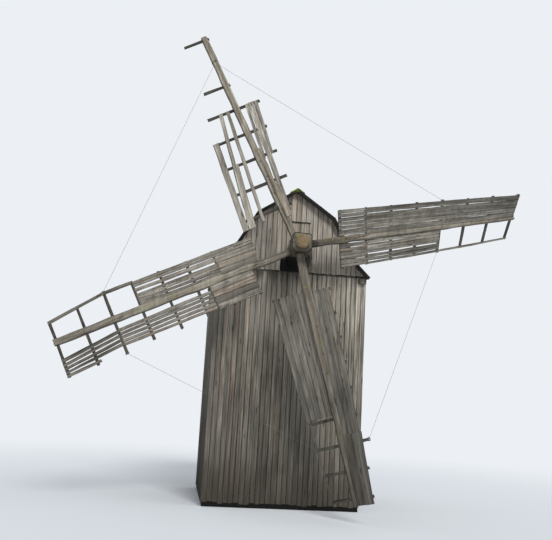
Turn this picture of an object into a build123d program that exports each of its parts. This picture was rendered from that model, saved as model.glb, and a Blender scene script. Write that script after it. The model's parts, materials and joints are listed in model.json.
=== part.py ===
from build123d import *
import os
from math import cos, hypot, radians, sin, tan

# An old boarded windmill: a square timber house down to the ground, a gambrel roof with kicked
# eaves, and an inclined windshaft that carries four weathered lattice sails and four wire stays.
# Millimetres. +Z is up and the sails stand at -Y. The pieces are drawn from the middle of the
# front wall's foot and moved back by half the depth at the end, so that the origin is the
# centre of the sill frame's underside.

# Body
BODY_WIDTH = 5000
BODY_DEPTH = 5000
WALL_TOP = 7550
WALL_BOARD = 30
BOARD_GROUND_GAP = 120
SILL_WIDTH = 260
SILL_HEIGHT = 260
POST_SIZE = 220
PLATE_WIDTH = 250
PLATE_HEIGHT = 240
PLATE_STUB = 130

# Doorway in the back wall
DOOR_WIDTH = 900
DOOR_TOP = 2150
DOOR_GAP = 6
DOOR_POST = 120

# Roof, as its outer face
RIDGE_Z = 10320
BREAK_X = 1310
BREAK_Z = 9440
KICK_X = 2200
KICK_Z = 7870
EAVE_X = 2570
EAVE_Z = 7510
ROOF_THICKNESS = 60
VERGE_OVERHANG = 250
VERGE_WIDTH = 110
VERGE_BOARD = 30
RIDGE_CAP_WIDTH = 230
RIDGE_CAP_THICKNESS = 40

# Gables
GABLE_BOARD = 30
SHAFT_HOLE_HALF_WIDTH = 430
SHAFT_HOLE_TOP = 8400
SLOT_LEFT = -110
SLOT_RIGHT = 490
HATCH_BOTTOM = 9240
HATCH_BOARD = 25
HATCH_LAP = 30

# Windshaft, measured along its own axis from the hub, positive towards the tail
HUB_Y = -1380
HUB_Z = 8170
SHAFT_TILT = 6.9
HEAD_SIZE = 600
HEAD_FRONT = -330
HEAD_BACK = 330
HEAD_CHAMFER = 70
NOSE_RADIUS = 270
NOSE_TIP_RADIUS = 165
NOSE_LENGTH = 130
NECK_RADIUS = 250
NECK_RUN_ON = 200
TAIL_RADIUS = 130
TAIL_SHOULDER_RADIUS = 160
TAIL_FROM = 4950
TAIL_TO = 5350
JOURNAL_RUN_ON = 500
BAND_WIDTH = 60
BAND_THICKNESS = 8
BAND_AT = (-280, 280)

# Bearings
BEARING_GAP = 0.05
NECK_BEAM_WIDTH = 300
NECK_BEAM_LENGTH = 2400
NECK_BLOCK_LENGTH = 760
TAIL_BEAM_WIDTH = 260

# Sails: angle and length of each whip, its side offset at the head, its place along the shaft,
# how far out its first bar is, and the weather angle of its first and last bar
SAILS = {
    "upper": dict(
        angle=115.9, length=7800, offset=110, axial=-130, first_bar=1350, heel=-8, tip=-8
    ),
    "left": dict(angle=206.3, length=8000, offset=50, axial=130, first_bar=1780, heel=4, tip=4),
    "right": dict(angle=12.7, length=7380, offset=35, axial=130, first_bar=1350, heel=32, tip=60),
    "lower": dict(
        angle=284.0, length=7860, offset=-120, axial=-130, first_bar=1600, heel=16, tip=58
    ),
}
WHIP_ROOT = 200
WHIP_TIP = 128
WHIP_START = 110
LAST_BAR_INSET = 110
BAR_WIDTH = 70
BAR_THICKNESS = 50
SAIL_BOARD = 22
SAIL_BOARD_LAP = 45
JOINT = 0.06

# Ends of each bar from the head outwards, where None is a bar that has dropped out. The chord is
# positive on the side that leads when the sails turn anticlockwise, seen from the front.
BARS = {
    "upper": [
        (-380, 1330), (-610, 1320), (-660, 1270), (-700, 1205), (-820, 1030), (-160, 800), None,
        (-150, 760),
    ],
    "left": [
        (-955, 930), (-955, 950), (-955, 980), (-955, 1040), (-955, 1050), (-955, 1120),
        (-810, 1130), (-670, 1140),
    ],
    "right": [(-955, 985)] * 8,
    "lower": [
        (-1160, 710), (-1140, 710), (-1120, 710), (-1095, 710), (-1070, 710), (-980, 710), (-950, 950),
        (-950, 770), (-950, 770),
    ],
}

# Boards of each sail: chord from and to, first and last bar, and chord from and to at the last
# bar where the board runs askew. A part of a bar is where two boards butt on that bar.
BOARDS = {
    "upper": [
        (1190, 1390, 0, 3, 985, 1185), (950, 1190, 0, 4, 410, 550), (450, 600, 0, 4, 120, 260),
        (-250, -120, 0, 4, -640, -500), (-560, -460, 2, 4, -820, -690),
        (-320, -210, 3, 4, -440, -330),
    ],
    "left": [
        (-910, -715, -0.45, 4 - JOINT), (-910, -850, 4 + JOINT, 5 - JOINT),
        (-910, -850, 5 + JOINT, 7, -640, -580), (-705, -500, -0.45, 1 - JOINT),
        (-495, -300, -0.45, 1 - JOINT), (-295, -105, -0.45, 1 - JOINT),
        (-700, -560, 1 + JOINT, 3 - JOINT), (-665, -560, 3 + JOINT, 4 - JOINT),
        (-505, -400, 1 + JOINT, 4 - JOINT), (-388, -325, 1 + JOINT, 4 - JOINT),
        (-313, -105, 1 + JOINT, 4 - JOINT, -313, -88),
        (105, 300, 0, 1.5), (305, 500, 0, 1.5), (505, 700, 0, 1.5), (705, 900, 0, 1.5),
        (240, 350, 1.66, 5 - JOINT, 310, 415), (372, 480, 1.66, 5 - JOINT, 435, 530),
        (500, 610, 1.66, 5 - JOINT, 555, 650), (635, 745, 1.66, 5 - JOINT, 672, 765),
        (765, 865, 1.66, 5 - JOINT, 785, 870), (340, 450, 5 + JOINT, 7, 560, 670),
        (480, 590, 5 + JOINT, 7, 700, 800), (620, 720, 5 + JOINT, 7, 830, 920),
        (745, 850, 5 + JOINT, 7, 945, 1020), (970, 1060, 5.9, 7, 1045, 1125),
    ],
    "right": [
        (200, 330, 0, 1 - JOINT), (352, 455, 0, 1 - JOINT), (480, 590, 0, 1 - JOINT),
        (612, 715, 0, 1 - JOINT), (738, 850, 0, 1 - JOINT), (868, 975, 0, 1 - JOINT),
        (122, 450, 1 + JOINT, 7, 82, 450), (455, 785, 1 + JOINT, 7), (800, 975, 1 + JOINT, 7),
        (-400, -128, 0, 1 - JOINT), (-650, -405, 0, 1 - JOINT), (-910, -665, 0, 1 - JOINT),
        (-330, -105, 1 + JOINT, 4 - JOINT, -330, -90), (-545, -336, 1 + JOINT, 4 - JOINT),
        (-810, -590, 1 + JOINT, 4 - JOINT), (-910, -855, 1 + JOINT, 4 - JOINT),
        (-910, -855, 4 + JOINT, 7),
    ],
    "lower": [
        (-1120, -930, 0, 4.8, -1010, -830), (-920, -720, 0, 4.8, -822, -650),
        (-710, -520, 0, 4.8, -642, -470), (-510, -320, 0, 4.8, -462, -290),
        (-310, -110, 0, 4.8, -282, -108), (-910, -860, 5 + JOINT, 8),
        (134, 290, 0, 5.6, 98, 290), (295, 470, 0, 5.6), (475, 640, 0, 5.6, 475, 680),
        (105, 385, 5.72, 8.2), (390, 740, 5.72, 8.2),
    ],
}

# Wire stays: what holds each end, as a sail, the side of its bars or its whip, and the number of
# the bar or the distance out
STAY_RADIUS = 8
STAY_INSET = 20
STAYS = {
    "upper_right": (("upper", "whip", 6800), ("right", "lead", 4)),
    "upper_left": (("upper", "whip", 6800), ("left", "trail", 5)),
    "left_lower": (("left", "lead", 5), ("lower", "trail", 6)),
    "right_lower": (("right", "trail", 4), ("lower", "lead", 6)),
}

HALF_WIDTH = BODY_WIDTH / 2
INNER_HALF = HALF_WIDTH - WALL_BOARD
BACK_Y = BODY_DEPTH - WALL_BOARD
PLATE_BOTTOM = WALL_TOP - PLATE_HEIGHT

parts = {}


def block(x0, x1, y0, y1, z0, z1):
    """A box between two corners."""
    return Pos((x0 + x1) / 2, (y0 + y1) / 2, (z0 + z1) / 2) * Box(x1 - x0, y1 - y0, z1 - z0)


def slab_xz(points, y0, y1):
    """A flat outline in X and Z, with its thickness along Y."""
    face = make_face(Polyline([(x, y1, z) for x, z in points], close=True))
    return extrude(face, amount=y1 - y0, dir=(0, -1, 0))


def inset_polyline(points, distance):
    """The same open outline moved to the right of its direction, with mitred corners."""
    normals = []
    for (xa, za), (xb, zb) in zip(points, points[1:]):
        length = hypot(xb - xa, zb - za)
        normals.append(((zb - za) / length, -(xb - xa) / length))
    inner = []
    for index, (x, z) in enumerate(points):
        before = normals[max(index - 1, 0)]
        after = normals[min(index, len(normals) - 1)]
        share = distance / (1 + before[0] * after[0] + before[1] * after[1])
        inner.append((x + (before[0] + after[0]) * share, z + (before[1] + after[1]) * share))
    return inner


def mirrored(points):
    """An outline on the other side of the ridge."""
    return [(-x, z) for x, z in points]


# Right half of the roof from the ridge to the eave, outside and inside
ROOF_OUTER = [(0, RIDGE_Z), (BREAK_X, BREAK_Z), (KICK_X, KICK_Z), (EAVE_X, EAVE_Z)]


def roof_line(depth):
    """The roof's right half at a depth below its outer face, closed at the ridge plane."""
    line = inset_polyline(ROOF_OUTER, depth)
    (xa, za), (xb, zb) = line[0], line[1]
    line[0] = (0, za + (zb - za) * (0 - xa) / (xb - xa))
    return line


def roof_height(x, line):
    """The height of a roof line at a distance from the ridge."""
    for (xa, za), (xb, zb) in zip(line, line[1:]):
        if xa <= x <= xb:
            return za + (zb - za) * (x - xa) / (xb - xa)
    raise ValueError("outside the roof")


def under_roof(x0, x1, z0):
    """An outline from a level line up to the roof's underside, between two distances right of it."""
    line = roof_line(ROOF_THICKNESS)
    corners = [(x, z) for x, z in line if x0 < x < x1 and z > z0]
    top = [(x0, roof_height(x0, line))] + corners
    if roof_height(x1, line) > z0:
        top.append((x1, roof_height(x1, line)))
    return [(x0, z0)] + top + [(x1, z0)]


def roof_foot(z):
    """How far out the roof's underside is at a height."""
    line = roof_line(ROOF_THICKNESS)
    for (xa, za), (xb, zb) in zip(line, line[1:]):
        if zb <= z <= za:
            return xa + (xb - xa) * (za - z) / (za - zb)
    return line[-1][0]


def build_frame():
    """Sill frame, corner posts and top plates."""
    outer = block(-INNER_HALF, INNER_HALF, WALL_BOARD, BACK_Y, 0, SILL_HEIGHT)
    inner = block(
        -INNER_HALF + SILL_WIDTH, INNER_HALF - SILL_WIDTH,
        WALL_BOARD + SILL_WIDTH, BACK_Y - SILL_WIDTH, 0, SILL_HEIGHT,
    )
    parts["sill_frame"] = outer - inner
    posts = Part()
    for x in (-INNER_HALF, INNER_HALF - POST_SIZE):
        for y in (WALL_BOARD, BACK_Y - POST_SIZE):
            posts += block(x, x + POST_SIZE, y, y + POST_SIZE, SILL_HEIGHT, PLATE_BOTTOM)
    parts["corner_posts"] = posts
    for side, x in (("left", -INNER_HALF), ("right", INNER_HALF - PLATE_WIDTH)):
        plate = block(x, x + PLATE_WIDTH, -PLATE_STUB, BACK_Y, PLATE_BOTTOM, WALL_TOP)
        parts[f"plate_{side}"] = plate - parts[f"roof_{side}_eave"]
    reach = INNER_HALF - PLATE_WIDTH
    for name, y in (("plate_front", WALL_BOARD), ("plate_back", BACK_Y - PLATE_WIDTH)):
        parts[name] = block(-reach, reach, y, y + PLATE_WIDTH, PLATE_BOTTOM, WALL_TOP)


def build_walls():
    """Four boarded walls, the back one split round its doorway."""
    bottom = BOARD_GROUND_GAP
    front = block(-HALF_WIDTH, HALF_WIDTH, 0, WALL_BOARD, bottom, WALL_TOP)
    for side in ("left", "right"):
        front -= parts[f"plate_{side}"]
        front -= parts[f"roof_{side}_eave"]
    parts["front_wall"] = front
    jamb = DOOR_WIDTH / 2
    for side, sign in (("left", -1), ("right", 1)):
        eave = parts[f"roof_{side}_eave"]
        outer, inner = sorted((sign * HALF_WIDTH, sign * INNER_HALF))
        wall = block(outer, inner, WALL_BOARD, BACK_Y, bottom, WALL_TOP)
        parts[f"{side}_wall"] = wall - eave
        outer, inner = sorted((sign * HALF_WIDTH, sign * jamb))
        wall = block(outer, inner, BACK_Y, BODY_DEPTH, bottom, WALL_TOP)
        parts[f"back_wall_{side}"] = wall - eave
    parts["back_wall_over"] = block(-jamb, jamb, BACK_Y, BODY_DEPTH, DOOR_TOP, WALL_TOP)


def build_door():
    """The boarded door in the back wall, with the posts and lintel behind it."""
    jamb = DOOR_WIDTH / 2
    inside = BACK_Y - DOOR_POST
    posts = Part()
    for x in (-jamb - DOOR_POST / 2, jamb - DOOR_POST / 2):
        posts += block(x, x + DOOR_POST, inside, BACK_Y, SILL_HEIGHT, PLATE_BOTTOM)
    parts["door_posts"] = posts
    clear = jamb - DOOR_POST / 2
    parts["door_lintel"] = block(
        -clear, clear, inside, BACK_Y, DOOR_TOP - DOOR_POST / 2, DOOR_TOP + DOOR_POST / 2
    )
    leaf = jamb - DOOR_GAP
    parts["back_door"] = block(
        -leaf, leaf, BACK_Y, BODY_DEPTH, BOARD_GROUND_GAP, DOOR_TOP - DOOR_GAP
    )


def build_roof():
    """Three boarded slopes a side, the ridge cap and the verge boards."""
    front = -VERGE_OVERHANG
    back = BODY_DEPTH + VERGE_OVERHANG
    outer, inner = ROOF_OUTER, roof_line(ROOF_THICKNESS)
    verge = roof_line(VERGE_WIDTH)
    for side, turn in (("right", list), ("left", mirrored)):
        for index, slope in enumerate(("upper", "lower", "eave")):
            outline = [outer[index], outer[index + 1], inner[index + 1], inner[index]]
            parts[f"roof_{side}_{slope}"] = slab_xz(turn(outline), front, back)
        board = turn(outer + verge[::-1])
        parts[f"front_verge_{side}"] = slab_xz(board, front - VERGE_BOARD, front)
        parts[f"back_verge_{side}"] = slab_xz(board, back, back + VERGE_BOARD)
    run = RIDGE_CAP_WIDTH
    drop = run * (RIDGE_Z - BREAK_Z) / BREAK_X
    rise = RIDGE_CAP_THICKNESS
    cap = [(0, RIDGE_Z + rise), (run, RIDGE_Z + rise - drop), (run, RIDGE_Z - drop), (0, RIDGE_Z)]
    half = slab_xz(cap, front - VERGE_BOARD, back + VERGE_BOARD)
    parts["ridge_cap"] = half + mirror(half, about=Plane.YZ)


def build_gables():
    """Gable boards, open round the windshaft, with the infill and the hatch over it."""
    front = -GABLE_BOARD
    foot = roof_foot(WALL_TOP)
    for name, inside_low, inside_high in (
        ("right", SHAFT_HOLE_HALF_WIDTH, SLOT_RIGHT), ("left", SHAFT_HOLE_HALF_WIDTH, -SLOT_LEFT)
    ):
        side = slab_xz(under_roof(0, foot, WALL_TOP), front, 0)
        side -= block(0, inside_low, front, 0, WALL_TOP, SHAFT_HOLE_TOP)
        side -= block(0, inside_high, front, 0, SHAFT_HOLE_TOP, RIDGE_Z)
        parts[f"front_gable_{name}"] = side if name == "right" else mirror(side, about=Plane.YZ)
    half = slab_xz(under_roof(0, foot, WALL_TOP), BODY_DEPTH, BODY_DEPTH + GABLE_BOARD)
    parts["back_gable"] = half + mirror(half, about=Plane.YZ)
    parts["gable_infill"] = block(SLOT_LEFT, SLOT_RIGHT, front, 0, SHAFT_HOLE_TOP, HATCH_BOTTOM)
    left, right = SLOT_LEFT - HATCH_LAP, SLOT_RIGHT + HATCH_LAP
    line = roof_line(ROOF_THICKNESS)
    outline = [
        (left, HATCH_BOTTOM - HATCH_LAP), (left, roof_height(-left, line)), line[0],
        (right, roof_height(right, line)), (right, HATCH_BOTTOM - HATCH_LAP),
    ]
    parts["gable_hatch"] = slab_xz(outline, front - HATCH_BOARD, front)


# The rotor's own frame: X to the right, Y along the shaft towards its tail, Z up across it
ROTOR = Pos(0, HUB_Y, HUB_Z) * Rot(-SHAFT_TILT, 0, 0)


def along_shaft(start, end, radius_start, radius_end):
    """A round length of the shaft, as a cone or a cylinder, between two places on its axis."""
    outline = Polyline([(0, start), (radius_start, start), (radius_end, end), (0, end)], close=True)
    return revolve(make_face(outline), Axis.Y)


def build_windshaft():
    """The windshaft with its squared head, and the iron bands round the head."""
    head = Box(HEAD_SIZE, HEAD_BACK - HEAD_FRONT, HEAD_SIZE)
    head = chamfer(head.edges().filter_by(Axis.Y), HEAD_CHAMFER)
    head = Pos(0, (HEAD_FRONT + HEAD_BACK) / 2, 0) * head
    neck_end = (NECK_BEAM_WIDTH + WALL_BOARD - HUB_Y) / cos(radians(SHAFT_TILT)) + NECK_RUN_ON
    outline = Polyline(
        [
            (0, HEAD_FRONT - NOSE_LENGTH), (NOSE_TIP_RADIUS, HEAD_FRONT - NOSE_LENGTH),
            (NOSE_RADIUS, HEAD_FRONT), (NECK_RADIUS, 0), (NECK_RADIUS, neck_end),
            (TAIL_SHOULDER_RADIUS, TAIL_FROM), (TAIL_RADIUS, TAIL_FROM),
            (TAIL_RADIUS, TAIL_TO), (0, TAIL_TO),
        ],
        close=True,
    )
    shaft = revolve(make_face(outline), Axis.Y)
    bands = Part()
    for place in BAND_AT:
        ring = Box(HEAD_SIZE + 2 * BAND_THICKNESS, BAND_WIDTH, HEAD_SIZE + 2 * BAND_THICKNESS)
        ring = chamfer(ring.edges().filter_by(Axis.Y), HEAD_CHAMFER + BAND_THICKNESS * 0.6)
        bands += Pos(0, place, 0) * ring - head
    return {"windshaft": head + shaft, "head_bands": bands}


def sail_place(sail):
    """Where a sail's own frame stands on the rotor: X out along the whip, Z to the leading side."""
    data = SAILS[sail]
    return Rot(0, -data["angle"], 0) * Pos(0, data["axial"], data["offset"])


def bar_place(sail, number):
    """How far out a bar of a sail is, or a place between two bars."""
    first = SAILS[sail]["first_bar"]
    last = SAILS[sail]["length"] - LAST_BAR_INSET
    return first + (last - first) * number / (len(BARS[sail]) - 1)


def weather(sail, number):
    """The angle of a bar to the plane of the sails, in radians."""
    data = SAILS[sail]
    return radians(data["heel"] + (data["tip"] - data["heel"]) * number / (len(BARS[sail]) - 1))


def on_sail(out, chord, proud, angle):
    """A point in the sail's frame: out along the whip, along the bar, and proud of its middle."""
    y = -sin(angle) * chord - cos(angle) * proud
    z = cos(angle) * chord - sin(angle) * proud
    return (out, y, z)


def section(out, chord_from, chord_to, under, over, angle):
    """A board's cross-section at one place along the whip."""
    corners = [(chord_from, under), (chord_to, under), (chord_to, over), (chord_from, over)]
    return make_face(Polyline([on_sail(out, c, p, angle) for c, p in corners], close=True))


def sail_bars(sail):
    """The bars of a sail, each at its own weather angle."""
    bars = []
    half = BAR_THICKNESS / 2
    for number, ends in enumerate(BARS[sail]):
        if ends is not None:
            out = bar_place(sail, number) - BAR_WIDTH / 2
            start = section(out, *ends, -half, half, weather(sail, number))
            bars.append(extrude(start, amount=BAR_WIDTH, dir=(1, 0, 0)))
    return bars


def sail_board(sail, chord_from, chord_to, first, last, last_from=None, last_to=None):
    """A board nailed on the front of the bars, which follows their twist from bar to bar."""
    under = BAR_THICKNESS / 2
    over = under + SAIL_BOARD
    last_from = chord_from if last_from is None else last_from
    last_to = chord_to if last_to is None else last_to
    on_first, on_last = round(first), round(last)
    start = bar_place(sail, first) - SAIL_BOARD_LAP
    end = bar_place(sail, last) + SAIL_BOARD_LAP
    stations = [(start, on_first)]
    if SAILS[sail]["heel"] != SAILS[sail]["tip"]:
        edges = [(bar_place(sail, n) + side * BAR_WIDTH / 2, n)
                 for n in range(on_first, on_last + 1) for side in (-1, 1)]
        stations += edges[1:-1]
    stations.append((end, on_last))
    faces = []
    for out, number in stations:
        share = (out - start) / (end - start)
        low = chord_from + (last_from - chord_from) * share
        high = chord_to + (last_to - chord_to) * share
        faces.append(section(out, low, high, under, over, weather(sail, number)))
    return loft(faces, ruled=True)


def sail_whip(sail, bars):
    """The tapered whip with a mortise for each bar."""
    length = SAILS[sail]["length"]
    root = Plane.YZ.offset(WHIP_START) * Rectangle(WHIP_ROOT, WHIP_ROOT)
    tip = Plane.YZ.offset(length) * Rectangle(WHIP_TIP, WHIP_TIP)
    whip = loft([root, tip])
    for bar in bars:
        whip -= bar
    return whip


def stay_end(spot):
    """The middle of the bar's end, or the whip's, that a stay is made fast to."""
    sail, side, where = spot
    if side == "whip":
        local = (where, 0, 0)
    else:
        trail, lead = BARS[sail][where]
        chord = lead - STAY_INSET if side == "lead" else trail + STAY_INSET
        local = on_sail(bar_place(sail, where), chord, 0, weather(sail, where))
    return (sail_place(sail) * Pos(*local)).position


def build_rotor():
    """The windshaft, the sails and their stays, tilted together on the shaft's axis."""
    rotor = build_windshaft()
    carriers = {}
    for sail in SAILS:
        place = sail_place(sail)
        bars = sail_bars(sail)
        whip = place * sail_whip(sail, bars)
        bar_group = place * Part(children=bars)
        rotor[f"{sail}_whip"] = whip
        rotor[f"{sail}_bars"] = bar_group
        rotor[f"{sail}_boards"] = place * Part(
            children=[sail_board(sail, *board) for board in BOARDS[sail]]
        )
        rotor["windshaft"] -= whip
        carriers[sail] = [whip, bar_group]
    for name, (start, end) in STAYS.items():
        a, b = stay_end(start), stay_end(end)
        wire = Pos(0, 0, (b - a).length / 2) * Cylinder(STAY_RADIUS, (b - a).length)
        wire = Plane(origin=a, z_dir=b - a) * wire
        for spot in (start, end):
            whip, bar_group = carriers[spot[0]]
            wire = wire - whip if spot[1] == "whip" else wire - bar_group
        rotor[f"stay_{name}"] = wire
    for name, shape in rotor.items():
        parts[name] = ROTOR * shape


def build_bearings():
    """The neck beam and block under the shaft's neck, and the beam under its tail."""
    rise = tan(radians(SHAFT_TILT))
    neck_y = WALL_BOARD + NECK_BEAM_WIDTH / 2
    neck_z = HUB_Z + (HUB_Y - neck_y) * rise
    bottom = neck_z - NECK_RADIUS
    beam_top = (WALL_TOP + bottom) / 2
    y0, y1 = WALL_BOARD, WALL_BOARD + NECK_BEAM_WIDTH
    half = NECK_BEAM_LENGTH / 2
    parts["neck_beam"] = block(-half, half, y0, y1, WALL_TOP, beam_top)
    half = NECK_BLOCK_LENGTH / 2
    saddle = ROTOR * along_shaft(
        HEAD_BACK, TAIL_FROM, NECK_RADIUS + BEARING_GAP, NECK_RADIUS + BEARING_GAP
    )
    parts["neck_block"] = block(-half, half, y0, y1, beam_top, neck_z) - saddle
    tail_out = (TAIL_FROM + TAIL_TO) / 2
    tail_y = HUB_Y + tail_out * cos(radians(SHAFT_TILT))
    tail_z = HUB_Z - tail_out * sin(radians(SHAFT_TILT))
    reach = INNER_HALF - PLATE_WIDTH
    y0, y1 = tail_y - TAIL_BEAM_WIDTH / 2, tail_y + TAIL_BEAM_WIDTH / 2
    journal = ROTOR * along_shaft(
        0, TAIL_TO + JOURNAL_RUN_ON, TAIL_RADIUS + BEARING_GAP, TAIL_RADIUS + BEARING_GAP
    )
    parts["tail_beam"] = block(-reach, reach, y0, y1, PLATE_BOTTOM, tail_z) - journal


def write_parts():
    """One file for each node, with the middle of the house brought over the origin."""
    os.makedirs("parts", exist_ok=True)
    middle = Pos(0, -BODY_DEPTH / 2, 0)
    for name, shape in parts.items():
        export_step(middle * shape, f"parts/{name}.step")


build_roof()
build_frame()
build_walls()
build_door()
build_gables()
build_rotor()
build_bearings()
write_parts()
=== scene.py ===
"""An old boarded windmill: house, gambrel roof and four weathered sails, dressed round its frame."""

from __future__ import annotations

import json
import logging
import math
import random
from dataclasses import dataclass, field
from enum import Enum
from typing import Callable, Optional, Sequence

import bmesh
import bpy
from mathutils import Matrix, Vector, noise

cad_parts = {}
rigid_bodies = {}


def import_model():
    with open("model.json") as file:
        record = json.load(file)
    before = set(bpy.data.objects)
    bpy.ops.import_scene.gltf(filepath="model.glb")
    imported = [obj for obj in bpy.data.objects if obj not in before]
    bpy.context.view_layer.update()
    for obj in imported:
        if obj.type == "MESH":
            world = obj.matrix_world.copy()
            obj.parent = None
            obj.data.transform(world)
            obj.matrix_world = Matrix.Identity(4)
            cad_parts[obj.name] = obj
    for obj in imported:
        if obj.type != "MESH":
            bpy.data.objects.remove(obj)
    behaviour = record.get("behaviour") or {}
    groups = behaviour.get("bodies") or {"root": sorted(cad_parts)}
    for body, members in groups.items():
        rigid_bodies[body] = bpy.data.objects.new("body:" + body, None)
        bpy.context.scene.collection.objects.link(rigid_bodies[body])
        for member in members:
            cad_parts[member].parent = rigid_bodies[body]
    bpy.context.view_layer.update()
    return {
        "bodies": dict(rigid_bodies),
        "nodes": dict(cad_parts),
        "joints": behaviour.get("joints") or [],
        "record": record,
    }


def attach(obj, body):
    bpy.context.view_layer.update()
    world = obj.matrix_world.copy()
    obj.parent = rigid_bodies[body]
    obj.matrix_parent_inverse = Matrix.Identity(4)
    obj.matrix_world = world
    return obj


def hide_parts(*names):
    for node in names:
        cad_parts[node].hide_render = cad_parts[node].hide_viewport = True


LOG = logging.getLogger("windmill")
RIGHT, BACK, UP = Vector((1, 0, 0)), Vector((0, 1, 0)), Vector((0, 0, 1))
Placer = Callable[[Vector], Vector]
Colour = tuple[float, float, float]
Span = tuple[float, float]
Triple = tuple[float, float, float]
Socket = bpy.types.NodeSocket
Material = bpy.types.Material


class Body(Enum):
    """The two bodies of the mill."""

    HOUSE = "house"
    ROTOR = "rotor"


class Slot(Enum):
    """Names of material slots, passed along with new pieces; nothing reads them."""

    FRAME = "frame_timber"
    WALL = "wall_boards"
    GABLE = "gable_boards"
    ROOF = "roof_boards"
    SHAFT = "shaft_timber"
    IRON = "band_iron"
    SAIL_TIMBER = "sail_timber"
    SAIL_BOARD = "sail_boards"
    WIRE = "stay_wire"


class Grain(Enum):
    """Where the fibres of a timber run: along its own map, or along an axis of the mill."""

    MAP = "map"
    X = "x"
    Z = "z"


class Grip(Enum):
    """How a stay is held at an end: on the whip, or on the leading or trailing end of a bar."""

    WHIP = "whip"
    LEAD = "lead"
    TRAIL = "trail"


def srgb(red: int, green: int, blue: int) -> Colour:
    """A colour written in display values, as the linear one that a shader takes."""
    return tuple(
        value / 12.92 if value <= 0.04045 else ((value + 0.055) / 1.055) ** 2.4
        for value in (red / 255, green / 255, blue / 255)
    )


def darker(colour: Colour, share: float) -> Colour:
    """A share of a colour's light."""
    return tuple(channel * share for channel in colour)


# Shader graphs


NUMBER, VECTOR = "NodeSocketFloat", "NodeSocketVector"
# Near black: greasy dirt and painted deep shade round the shaft's opening.
GREASE_SHADE_BLACK = (0.004, 0.004, 0.004)
WET_TIMBER = srgb(58, 52, 44)


class Graph:
    """A short way to write a node tree."""

    def __init__(self, tree: bpy.types.NodeTree) -> None:
        """Takes the tree that the nodes go into."""
        self.tree = tree

    def node(self, kind: str, settings: Optional[dict] = None, **inputs: object) -> bpy.types.Node:
        """Adds a node.

        Args:
            kind: the node's type.
            settings: the node's own properties.
            inputs: a value or an output socket for each input, by name or as i0, i1 for its place.

        Returns:
            The new node.
        """
        made = self.tree.nodes.new(kind)
        for key, value in (settings or {}).items():
            setattr(made, key, value)
        for key, value in inputs.items():
            place = int(key[1:]) if key[0] == "i" and key[1:].isdigit() else key.replace("_", " ")
            if isinstance(value, Socket):
                self.tree.links.new(value, made.inputs[place])
            else:
                made.inputs[place].default_value = value
        return made

    def group(self, tree: bpy.types.NodeTree, **inputs: object) -> bpy.types.NodeOutputs:
        """Places a node group and gives its outputs."""
        return self.node("ShaderNodeGroup", {"node_tree": tree}, **inputs).outputs

    def math(self, operation: str, first: object, second: object = 0.0) -> Socket:
        """A Math node's result."""
        return self.node("ShaderNodeMath", {"operation": operation}, i0=first, i1=second).outputs[0]

    def times(self, first: object, second: object) -> Socket:
        """Two numbers multiplied."""
        return self.math("MULTIPLY", first, second)

    def plus(self, first: object, second: object) -> Socket:
        """Two numbers added."""
        return self.math("ADD", first, second)

    def minus(self, first: object, second: object) -> Socket:
        """The second number taken from the first."""
        return self.math("SUBTRACT", first, second)

    def most(self, first: object, second: object) -> Socket:
        """The larger of two numbers."""
        return self.math("MAXIMUM", first, second)

    def axis(self, vector: Socket, name: str) -> Socket:
        """One axis of a vector."""
        return self.node("ShaderNodeSeparateXYZ", Vector=vector).outputs[name]

    def layer(self, name: str) -> Socket:
        """A number that each timber carries."""
        return self.node("ShaderNodeAttribute", {"attribute_name": name}).outputs["Fac"]

    def noise(self, vector: Socket, stretch: Triple, detail: float, twist: float = 0.0) -> Socket:
        """A noise stretched along the axes of a vector.

        Args:
            vector: the coordinates.
            stretch: how many periods a metre along each axis.
            detail: the number of finer octaves.
            twist: how far the noise is distorted.

        Returns:
            The noise as a number.
        """
        scaled = self.node("ShaderNodeMapping", Vector=vector, Scale=stretch)
        made = self.node(
            "ShaderNodeTexNoise", Vector=scaled.outputs[0], Scale=1.0, Detail=detail,
            Roughness=0.6, Distortion=twist,
        )
        return made.outputs["Fac"]

    def band(
        self, value: Socket, low: float, high: float, start: float = 0.0, end: float = 1.0
    ) -> Socket:
        """A value brought smoothly from one range to another and held at its ends."""
        made = self.node(
            "ShaderNodeMapRange", {"interpolation_type": "SMOOTHSTEP"},
            i0=value, i1=low, i2=high, i3=start, i4=end,
        )
        return made.outputs[0]

    def mix(self, share: object, first: object, second: object, blend: str = "MIX") -> Socket:
        """Mixes two colours.

        Args:
            share: how much of the second one there is, from 0 to 1.
            first: the colour below, as a value or an output socket.
            second: the colour above.
            blend: the node's way to mix them.

        Returns:
            The mixed colour.
        """
        first, second = (
            (*colour, 1.0) if isinstance(colour, tuple) else colour for colour in (first, second)
        )
        settings = {"data_type": "RGBA", "blend_type": blend}
        return self.node("ShaderNodeMix", settings, i0=share, i6=first, i7=second).outputs[2]

    def shade(self, colour: Socket, level: Socket) -> Socket:
        """A colour made paler or darker by a number."""
        grey = self.node("ShaderNodeCombineColor", i0=level, i1=level, i2=level).outputs[0]
        return self.mix(1.0, colour, grey, "MULTIPLY")


class GroupGraph(Graph):
    """A node group with named inputs and outputs."""

    def __init__(self, name: str, **takes: str) -> None:
        """Starts the group.

        Args:
            name: the group's name.
            takes: each input's name and socket type.
        """
        super().__init__(bpy.data.node_groups.new(name, "ShaderNodeTree"))
        for label, kind in takes.items():
            self.tree.interface.new_socket(name=label, in_out="INPUT", socket_type=kind)
        self.given = self.tree.nodes.new("NodeGroupInput").outputs

    def give(self, **results: Socket) -> bpy.types.NodeTree:
        """Puts numbers out and closes the group.

        Args:
            results: each output's name and its number.

        Returns:
            The finished group.
        """
        for label in results:
            self.tree.interface.new_socket(name=label, in_out="OUTPUT", socket_type=NUMBER)
        self.node("NodeGroupOutput", **results)
        return self.tree


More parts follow.
